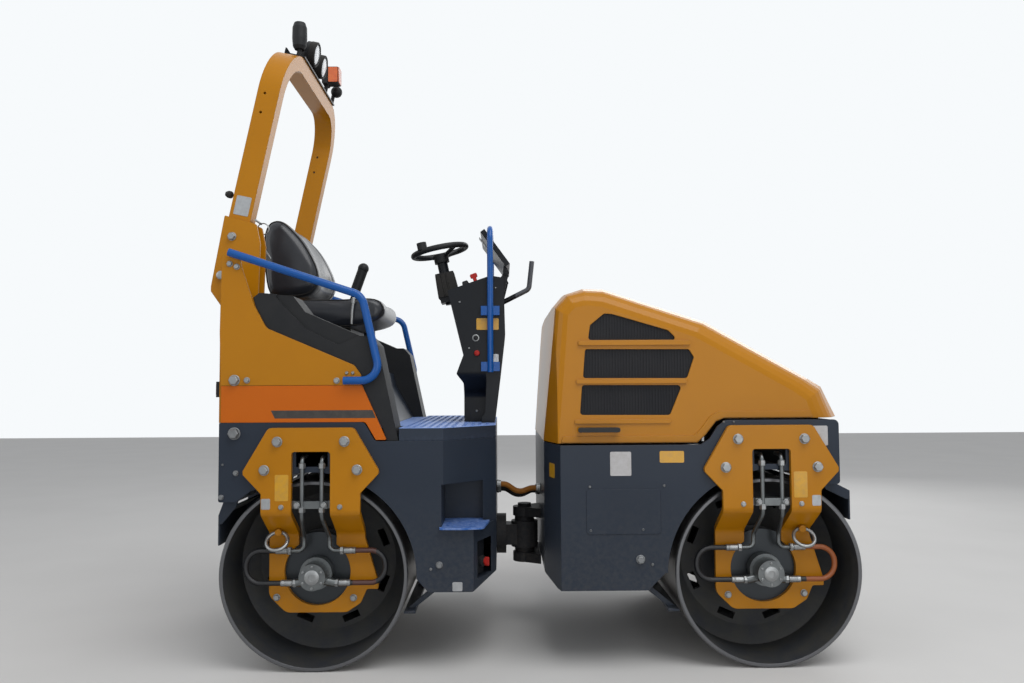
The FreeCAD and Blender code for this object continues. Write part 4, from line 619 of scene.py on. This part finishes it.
bandStripe({"corners": [(-1025, 989), (-641, 989), (-628, 959), (-1010, 959)], "middle": (-830, 974), "y": 640,
            "thick": 0.5})


def raisedPanel(look):  # shallow cover plate on the front frame's side
    bm = bmesh.new()
    for side in (-1, 1):
        plateForm(bm, roundedRect(look["width"], look["height"], 12), spot(look["x"], side * look["y"], look["z"]),
                  (0, side, 0), look["thick"], 1.0)
    finishPiece("frontCoverPlates", bm, paints["slateEnamel"], "front_frame")


raisedPanel({"x": 309, "z": 600, "y": 640, "width": 282, "height": 170, "thick": 2.5})
print("films and plates ready")


# ---- hood grilles

def grilleBars(look):  # a backing sheet with upright bars, cut to the space behind the windows
    bm = bmesh.new()
    corners = [Vector(corner) for corner in look["outline"]]

    def heightsAt(x):
        heights = []
        for a, b in zip(corners, corners[1:] + corners[:1]):
            if min(a.x, b.x) <= x < max(a.x, b.x):
                heights.append(a.y + (b.y - a.y) * (x - a.x) / (b.x - a.x))
        return min(heights), max(heights)

    for side in (-1, 1):
        out = (0, side, 0)
        sheet = [(-side * corner.x, corner.y) for corner in corners]
        plateForm(bm, sheet, spot(0, side * look["face"], 0), out, look["sheet"])
        x = look["from"]
        while x < look["to"]:
            low, high = heightsAt(x)
            bar = roundedRect(look["bar"], high - low - 4, 1.5, 1)
            plateForm(bm, bar, spot(x, side * (look["face"] + look["sheet"]), (low + high) / 2), out, look["proud"], 0.8)
            x += look["pitch"]
    return finishPiece("hoodGrilleBars", bm, grilleBlack, "hood")


# black grille plastic: dull, with dust caught between the bars
grilleBlack = grainedBlack("blackGrillePlastic", {"grainMm": 4, "dustAndSheenAmount": 0.35, "base": "#15171D", "dustAndSheenHue": "#4A4846",
                                                  "edge": 0.001, "bump": 0.15, "rough": 0.55, "sheen": 0.0})
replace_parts(grilleBars({
    "outline": [(132, 945), (520, 945), (616, 1150), (616, 1236), (556, 1268), (268, 1370), (232, 1370), (162, 1330)],
    "face": 590, "sheet": 0.6, "proud": 2.3, "pitch": 11, "bar": 5, "from": 140, "to": 612}), "hood_grilles")
print("grilles ready")


# ---- drive motors

def motorFittings(name, body, ahead, look):  # cover screws, hose ferrules, union nuts and clamp bolts of one end
    bm = bmesh.new()
    axle = ahead * wheelbaseHalf
    for side in (-1, 1):
        out = (0, side, 0)
        for i in range(look["screwCount"]):
            angle = math.radians(60 * i + 30)
            place = spot(axle + look["screwCircle"] * math.cos(angle), side * look["coverFace"],
                         look["axleZ"] + look["screwCircle"] * math.sin(angle))
            domeScrew(bm, place, out, 11)
        latheForm(bm, [(28, 0), (28, 3), (24, 5), (12, 5.5), (12, 3)], spot(axle, side * look["coverFace"], look["axleZ"]),
                  out)
        for reach in (-1, 1):
            for z, near in look["hoseEnds"]:
                along = (reach, 0, 0)
                latheForm(bm, [(11, 0), (13, 2), (13, 28), (12, 32), (13, 34), (13, 44), (11, 46)],
                          spot(axle + reach * near, side * look["hoseY"], z), along, 16)
                latheForm(bm, [(13, 0), (15.5, 1.5), (15.5, 13), (13, 14.5)],
                          spot(axle + reach * (near - 15), side * look["hoseY"], z), along, 6)
            hexBolt(bm, spot(axle + reach * 50, side * look["clampFace"], look["clampZ"]), out, 17)
            for z in look["unionHeights"]:
                pipeX = axle + (40 if reach > 0 else -34)
                latheForm(bm, [(10, 0), (13.5, 1.5), (13.5, 20), (10, 22)], spot(pipeX, side * look["pipeY"], z),
                          (0, 0, 1), 6)
    return finishPiece(name, bm, plating, body)


motorLook = {"axleZ": 360, "coverFace": 628, "screwCount": 6, "screwCircle": 40, "hoseY": 560, "clampZ": 635,
             "clampFace": 662, "pipeY": 650, "hoseEnds": [(448, 108), (325, 88)], "unionHeights": [770, 606]}
for end, body, ahead in (("rear", "rear_frame", -1), ("front", "front_frame", 1)):
    motorFittings(end + "MotorFittings", body, ahead, motorLook)
print("motor fittings ready")


# ---- roll bar and lamps

hoopLean = math.radians(12)
hoopFoot = (-1259, 1521)
hoopLength = (2500 - hoopFoot[1]) / math.cos(hoopLean)
plateTop = hoopLength + 6


def hoopSpot(x, y, up):  # millimetres across and along the leaning hoop, to metres in the frame
    return spot(hoopFoot[0] + x * math.cos(hoopLean) + up * math.sin(hoopLean), y,
                hoopFoot[1] - x * math.sin(hoopLean) + up * math.cos(hoopLean))


hoopAhead = Vector((math.cos(hoopLean), 0, -math.sin(hoopLean)))
hoopUp = Vector((math.sin(hoopLean), 0, math.cos(hoopLean)))

# ribbed pale lamp glass: bright and cool with fine prisms under a clear face
def lampGlass(name, look):
    material, tree, place = startMaterial(name)
    prisms = addNode(tree, "ShaderNodeTexWave", {"Scale": look["prismScale"], "bands_direction": "Y"}, {"Vector": place})
    cloud = addNode(tree, "ShaderNodeTexNoise", {"Scale": 60, "Detail": 4}, {"Vector": place})
    hue = addNode(tree, "ShaderNodeMix", {"data_type": "RGBA", 6: linearColour(look["deep"]),
                                          7: linearColour(look["bright"])}, {0: cloud.outputs["Fac"]})
    bump = addNode(tree, "ShaderNodeBump", {"Strength": 0.5, "Distance": 0.001}, {"Height": prisms.outputs["Fac"]})
    shader = addNode(tree, "ShaderNodeBsdfPrincipled", {"IOR": 1.5, "Roughness": 0.12, "Coat Weight": 0.8,
                                                        "Coat Roughness": 0.05},
                     {"Base Color": hue.outputs[2], "Normal": bump.outputs[0]})
    endMaterial(tree, shader)
    return material


clearLens = lampGlass("clearLampGlass", {"prismScale": 130, "deep": "#8F979C", "bright": "#C6CCD0"})
amberLens = lampGlass("amberLampLens", {"prismScale": 90, "deep": "#B8400A", "bright": "#E07018"})
redLens = lampGlass("redLampLens", {"prismScale": 90, "deep": "#7A0C0A", "bright": "#A81812"})


def workLampFaces(look):  # a rubber bezel and a domed lens on each lamp's front
    bezels = bmesh.new()
    lenses = bmesh.new()
    for y in look["sides"]:
        place = hoopSpot(look["face"], y, plateTop + look["up"])
        radius = look["radius"]
        latheForm(bezels, [(radius, -24), (radius + 2, -22), (radius + 2, 2), (radius - 2, 5), (radius - 7, 5),
                           (radius - 8, 1)], place, hoopAhead, 32)
        latheForm(lenses, [(radius - 8, 0.5), (radius - 14, 3.5), (radius - 28, 5.5), (8, 6.5)], place, hoopAhead, 32)
        for angle in (30, 150, 270):
            turn = math.radians(angle)
            local = hoopSpot(look["face"], y + (radius - 4.5) * math.cos(turn), plateTop + look["up"] +
                             (radius - 4.5) * math.sin(turn))
            domeScrew(bezels, local + hoopAhead * 0.004, hoopAhead, 6)
    finishPiece("workLampBezels", bezels, blackRubber, "rops")
    finishPiece("workLampLenses", lenses, clearLens, "rops")


workLampFaces({"sides": (-165, -17), "face": 68, "up": 66, "radius": 52})


def markerLens(look):  # ribbed amber box over the marker lamp's block
    bm = bmesh.new()
    x, y, z = look["middle"]
    plateForm(bm, roundedRect(look["wide"], look["tall"], 6), spot(x, y, z), (1, 0, 0), 3.0, 1.5)
    for side in (-1, 1):
        plateForm(bm, roundedRect(look["deep"] - 8, look["tall"] - 4, 5),
                  spot(x - look["deep"] / 2, y + side * look["wide"] / 2, z), (0, side, 0), 1.5, 0.7)
    plateForm(bm, roundedRect(look["wide"] - 6, look["deep"] - 8, 5), spot(x - look["deep"] / 2, y, z + look["tall"] / 2),
              (0, 0, 1), 1.5, 0.7, Vector((1, 0, 0)))
    finishPiece("markerLampLens", bm, amberLens, "rops")


markerLens({"middle": (-940, 210, 2599), "wide": 64, "tall": 78, "deep": 54})


def rearLampLenses(look):
    bm = bmesh.new()
    for side in (-1, 1):
        for y, wide in look["lenses"]:
            plateForm(bm, roundedRect(wide, look["tall"], 5), spot(look["face"], side * y, look["z"]), (-1, 0, 0), 3.5, 2)
    finishPiece("rearLampLenses", bm, redLens, "rear_frame")


rearLampLenses({"face": -1250, "z": 1070, "tall": 48, "lenses": [(505, 50), (560, 46)]})


def ropsFittings(look):  # fold pin washers, pull rings, buffers and the lamp plate's bolts
    fixed = bmesh.new()
    moving = bmesh.new()
    rubber = bmesh.new()
    for side in (-1, 1):
        latheForm(fixed, [(17, 0), (17, 3), (15, 4.5), (11, 5)], spot(hoopFoot[0], side * 528, hoopFoot[1]), (0, side, 0))
        for x, z, size in look["cheekBolts"]:
            hexBolt(fixed, spot(x, side * 517, z), (0, side, 0), size)
        x, y, z = look["pullRing"]
        middle = spot(x, side * y, z)
        circle = [middle + Vector((math.cos(a), 0, math.sin(a))) * 0.023 for a in (math.radians(15 * k) for k in range(24))]
        tubeForm(fixed, circle, 2.5, True, 8)
        tubeForm(fixed, [spot(x - 8, side * 508, z + 21), spot(x - 8, side * (y - 2), z + 21)], 4.5)
        for start in (-3, 3):
            tubeForm(fixed, [spot(x + start, side * y, z - 22), spot(x + start - 3, side * (y + 2), z - 52),
                             spot(x + start + 12, side * (y + 4), z - 92), spot(x + 35, side * (y + 6), z - 123)], 1.4)
        latheForm(rubber, [(5, 0), (5, 15), (12, 16), (15, 22), (15, 32), (9, 43), (3, 45)],
                  hoopSpot(-29, side * 473, 330), -hoopAhead, 20)
    for y in look["plateBolts"]:
        hexBolt(moving, hoopSpot(-4, y, plateTop), hoopUp, 15)
    finishPiece("foldPinFittings", fixed, plating, "rear_frame")
    finishPiece("lampPlateBolts", moving, plating, "rops")
    finishPiece("hoopBuffers", rubber, blackRubber, "rops")


ropsFittings({"cheekBolts": [(-1226, 1519, 20), (-1220, 1677, 26)], "pullRing": (-1122, 430, 1723),
              "plateBolts": (-230, -90, 60, 250)})
bm = bmesh.new()
plateForm(bm, roundedRect(60, 78, 4), hoopSpot(15, -504, 291), nearSide, 0.9, 0.3, hoopUp)
finishPiece("hoopTypePlate", bm, typePlate, "rops")
print("roll bar and lamps ready")


# ---- console

# gauge face: dark dial under clear glass, with a pale rim
dialGlass = lampGlass("dialGlass", {"prismScale": 5, "deep": "#0E1013", "bright": "#1A1D22"})
redAbs = grainedBlack("redSwitchPlastic", {"grainMm": 5, "dustAndSheenAmount": 0.15, "base": "#A8120E", "dustAndSheenHue": "#7A5A50",
                                           "edge": 0.001, "bump": 0.05, "rough": 0.35, "sheen": 0.0})
consoleUp = Vector((-0.327, 0, 0.945))


def onConsole(x, y):  # a spot on the console's sloping top
    return spot(x, y, 1490 + (x + 383) * 64 / 185)


def consoleFittings(look):
    dark = bmesh.new()
    red = bmesh.new()
    pale = bmesh.new()
    glass = bmesh.new()
    side = Vector(nearSide)
    for bmNow, x, outline in ((red, look["stopKey"], look["keyOutline"]), (dark, look["toggle"], look["toggleOutline"])):
        plateForm(bmNow, outline, onConsole(x, look["stripEdge"]), side, look["stripThick"], 1.6, consoleUp)
    for x, y in look["dials"]:
        latheForm(pale, [(31, 0), (31, 2.4), (28, 3.4), (25, 2.8)], onConsole(x, y), consoleUp, 32)
        latheForm(glass, [(25.5, 2), (20, 2.8), (5, 3.2)], onConsole(x, y), consoleUp, 32)
    for x, y in look["rockers"]:
        plateForm(dark, roundedRect(22, 36, 3), onConsole(x, y), consoleUp, 5, 2, Vector((1, 0, 0.346)).normalized())
    latheForm(pale, [(15, 0), (15, 3), (11, 4), (10, 2)], spot(-261, -235, 1284), side)
    latheForm(dark, [(9.5, 1), (9.5, 8), (8, 9)], spot(-261, -235, 1284), side, 20)
    latheForm(dark, [(14, 0), (14, 5), (11, 7)], spot(-256, -235, 1218), side)
    latheForm(red, [(11, 6), (12, 8), (12, 16), (9, 19), (3, 20)], spot(-256, -235, 1218), side, 20)
    domeScrew(pale, spot(-261, -130, 968), side, 12)
    for x, z in look["panelScrews"]:
        domeScrew(pale, spot(x, -235, z), side, 9)
        domeScrew(pale, spot(x, 235, z), -side, 9)
    for bmNow, name, material, slotName in (
            (dark, "consoleSwitches", mouldedAbs, "trim_black"), (red, "consoleRedButtons", redAbs, "lamp_red"),
            (pale, "consoleRims", plating, "zinc"), (glass, "consoleDials", dialGlass, "trim_black")):
        finishPiece(name, bmNow, material, "rear_frame")


# the key and the toggle stand on the strip beside the closed lid, and the dials stay below its plate
consoleFittings({"stopKey": -262, "keyOutline": [(-8, -2), (8, -2), (8, 13), (15, 15), (16, 28), (12, 33), (-12, 33),
                                                 (-16, 28), (-15, 15), (-8, 13)],
                 "toggle": -304, "toggleOutline": [(-15, -2), (15, -2), (13, 11), (9, 15), (-9, 15), (-13, 11)],
                 "stripEdge": -226.5, "stripThick": 7, "dials": [(-262, 20), (-262, 100)],
                 "rockers": [(-350, y) for y in (-150, -120, -90, 90, 120)],
                 "panelScrews": [(-330, 1440), (-175, 1500), (-290, 1240)]})

columnAxis = Vector((-0.20791, 0, 0.97815))


def columnBoot(look):  # tapered rubber boot with two ribs on each side, round the steering column's foot
    bm = bmesh.new()
    across = Vector((0.97815, 0, 0.20791))
    foot = spot(-433, 0, 1697)

    def onBoot(u, v, along):
        return foot + (across * u + Vector((0, v, 0)) + columnAxis * along) / 1000

    skinRings(bm, [[bm.verts.new(onBoot(u, v, along)) for u, v in roundedRect(2 * half, 2 * half, 9)]
                   for along, half in look["rows"]])
    for side in (-1, 1):
        for place in look["ribs"]:
            (lowAlong, lowHalf), (topAlong, topHalf) = look["rows"][0], look["rows"][-2]
            tubeForm(bm, [onBoot(place, side * lowHalf, lowAlong), onBoot(place, side * topHalf, topAlong)], 4, False, 8)
    finishPiece("columnBoot", bm, blackRubber, "rear_frame")


columnBoot({"rows": [(-215, 49), (-150, 46), (-110, 43.5), (-104, 40)], "ribs": (-16, 6)})


def coverHasp(look):  # the lid's bent hasp and a small tube loop at its end
    bm = bmesh.new()
    turn = math.radians(look["open"])
    along = Vector((math.cos(turn), 0, math.sin(turn)))
    outer = Vector((-math.sin(turn), 0, math.cos(turn)))
    hinge = spot(-128, 0, 1572)
    plateForm(bm, roundedRect(60, 34, 4), hinge + along * 0.19 - outer * 0.012, outer, 2.5, 0.8, along)
    tubeForm(bm, [hinge + along * (0.205 + a) + Vector((0, b, 0)) - outer * 0.011
                  for a, b in ((0, -0.02), (0.016, -0.02), (0.016, 0.02), (0, 0.02))], 2.5, False, 8)
    finishPiece("panelCoverHasp", bm, plating, "panel_cover")


coverHasp({"open": 126})


def isolatorSwitch(look):  # battery switch behind the rear frame's opening: a plate, a black body and a red key
    out = Vector(look["out"])
    plate, body, key = bmesh.new(), bmesh.new(), bmesh.new()
    middle = spot(*look["middle"])
    plateForm(plate, roundedRect(54, 130, 4), middle + Vector((0, 0, 0.02)), out, 2.5, 0.8)
    latheForm(body, [(22, 2), (22, 12), (14, 14), (14, 18)], middle, out)
    latheForm(key, [(12, 17), (13, 18), (13, 24), (9, 26)], middle, out, 20)
    plateForm(key, roundedRect(9, 34, 4), middle + out * 0.02, out, 16, 2)
    finishPiece("isolatorPlate", plate, paints["blackEnamel"], "rear_frame")
    finishPiece("isolatorBody", body, mouldedAbs, "rear_frame")
    finishPiece("isolatorKey", key, redAbs, "rear_frame")


isolatorSwitch({"middle": (-236, -539, 400), "out": (0.929, -0.371, 0)})
print("console ready")


# ---- floor tread

def treadLozenges(name, body, look, material):
    bm = bmesh.new()
    for patch in look["patches"]:
        (x0, x1), (y0, y1) = patch["x"], patch["y"]
        rows = int((x1 - x0) / look["pitch"])
        columns = int((y1 - y0) / look["pitch"])
        for i in range(rows):
            for j in range(columns):
                x = x0 + (i + 0.5) * look["pitch"]
                y = y0 + (j + 0.5) * look["pitch"]
                if patch.get("corner") and abs(y) > patch["corner"](x):
                    continue
                turn = math.radians(45 if (i + j) % 2 else -45)
                shape = [(math.cos(turn) * u - math.sin(turn) * v, math.sin(turn) * u + math.cos(turn) * v)
                         for u, v in ((look["long"] / 2, 0), (0, look["wide"] / 2), (-look["long"] / 2, 0),
                                      (0, -look["wide"] / 2))]
                plateForm(bm, shape, spot(x, y, patch["z"]), (0, 0, 1), look["proud"], 0.8, Vector((1, 0, 0)))
    return finishPiece(name, bm, material, body)


def floorEdge(x):  # half width of the floor where its front corners are cut off
    return 622 if x < -384 else 622 - (x + 384) * 210 / 199


treadLozenges("floorTread", "rear_frame", {
    "pitch": 30, "long": 24, "wide": 8, "proud": 0.9,
    "patches": [{"x": (-536, -326), "y": (-615, 615), "z": 920, "corner": floorEdge},
                {"x": (-316, -196), "y": (-615, -140), "z": 920, "corner": floorEdge},
                {"x": (-316, -196), "y": (140, 615), "z": 920, "corner": floorEdge}]}, paints["blueEnamelDustAndPaintedSheen"])
treadLozenges("stepTread", "rear_frame", {
    "pitch": 22, "long": 18, "wide": 6, "proud": 1.2,
    "patches": [{"x": (-370, -238), "y": (-640, -500), "z": 548}, {"x": (-370, -238), "y": (500, 640), "z": 548}]},
              paints["blueEnamelDustAndPaintedSheen"])
print("tread ready")


# ---- hoses over the joint

def hoseFerrules(look):
    rear = bmesh.new()
    front = bmesh.new()
    for y, rearZ, frontZ, radius in look["rows"]:
        rows = [(radius + 6, 0), (radius + 8, 2), (radius + 8, 10), (radius + 6, 11), (radius + 6, 18), (radius + 5, 20)]
        latheForm(rear, rows, spot(-175, y, rearZ), (1, 0, 0), 20)
        latheForm(front, rows, spot(20, y, frontZ), (-1, 0, 0), 20)
    finishPiece("rearHoseFerrules", rear, plating, "rear_frame")
    finishPiece("frontHoseFerrules", front, plating, "front_frame")


hoseFerrules({"rows": [(-72, 640, 622, 12), (-40, 628, 616, 12), (-8, 615, 606, 14), (26, 622, 610, 12)]})
print("ferrules ready")


# ---- padded seat

def smoothOutline(corners, rounds):  # cuts each corner twice over until the outline is soft
    for _ in range(rounds):
        soft = []
        for a, b in zip(corners, corners[1:] + corners[:1]):
            soft += [(a[0] * 0.75 + b[0] * 0.25, a[1] * 0.75 + b[1] * 0.25),
                     (a[0] * 0.25 + b[0] * 0.75, a[1] * 0.25 + b[1] * 0.75)]
        corners = soft
    return corners


def paddedForm(name, node, look):  # rings across the seat, rounded ends, a dished middle, seams and piping
    outline = [Vector(corner) for corner in smoothOutline(look["outline"], 2)]
    centre = sum(outline, Vector((0, 0))) / len(outline)
    face = Vector(look["face"]).normalized()
    half, radius = look["half"], look["round"]
    ends = [half - radius + radius * math.sin(math.radians(15 * k)) for k in range(7)]
    seam = look["seam"] * half
    inner = [0, seam * 0.35, seam * 0.7, seam - 14, seam - 6, seam, seam + 6, seam + 14]
    across = inner + [y for y in ends if y > inner[-1] + 2]

    def ringAt(y):
        past = max(0.0, abs(y) - (half - radius))
        inset = radius - math.sqrt(max(0.0, radius * radius - past * past))
        dish = look["dish"] * (1 - min(1.0, (abs(y) / seam) ** 2)) if abs(y) < seam else 0
        groove = look["groove"] * math.exp(-((abs(y) - seam) / 6) ** 2)
        ring = []
        for corner in outline:
            away = corner - centre
            weight = max(0.0, min(1.0, away.normalized().dot(face) * 1.6))
            shell = corner - away.normalized() * min(inset, away.length * 0.8)
            ring.append(shell - face * weight * (dish + groove))
        return ring

    bm = bmesh.new()
    rows = [-y for y in reversed(across[1:])] + across
    skinRings(bm, [[bm.verts.new(spot(corner.x, y, corner.y)) for corner in ringAt(y)] for y in rows])
    pad = finishPiece(name, bm, seatVinyl, "rear_frame")
    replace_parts(pad, node)
    piping = bmesh.new()
    for side in (-1, 1):
        y = half - radius * 0.45
        tubeForm(piping, [spot(corner.x, side * (y + 1), corner.y) for corner in ringAt(y)], 3.2, True, 8)
        for rise in look["stitches"]:
            tubeForm(piping, [spot(corner.x, side * rise, corner.y) for corner in ringAt(rise)], 2.2, True, 6)
    finishPiece(name + "Piping", piping, blackRubber, "rear_frame")


paddedForm("paddedCushion", "seat_cushion", {
    "outline": [(-1130, 1330), (-830, 1330), (-705, 1354), (-655, 1385), (-660, 1442), (-712, 1464), (-900, 1456),
                (-1130, 1450)],
    "face": (0.1, 1), "half": 230, "round": 42, "seam": 0.62, "dish": 12, "groove": 5, "stitches": (),
    "slot": "vinyl_black"})
paddedForm("paddedBack", "seat_back", {
    "outline": [(-1140, 1464), (-972, 1472), (-934, 1560), (-1000, 1702), (-1082, 1788), (-1128, 1815), (-1178, 1792),
                (-1196, 1690), (-1174, 1498)],
    "face": (1, 0.35), "half": 210, "round": 48, "seam": 0.6, "dish": 16, "groove": 6, "stitches": (),
    "slot": "vinyl_black"})
bm = bmesh.new()
tubeForm(bm, [spot(-793, -250, 1345), spot(-790, -250, 1400), spot(-786, -248, 1438)], 6, False, 12)
latheForm(bm, [(9, 0), (9, 22), (6, 26)], spot(-786, -248, 1434), (0.08, 0, 1), 16)
finishPiece("seatLever", bm, plating, "rear_frame")
print("seat ready")
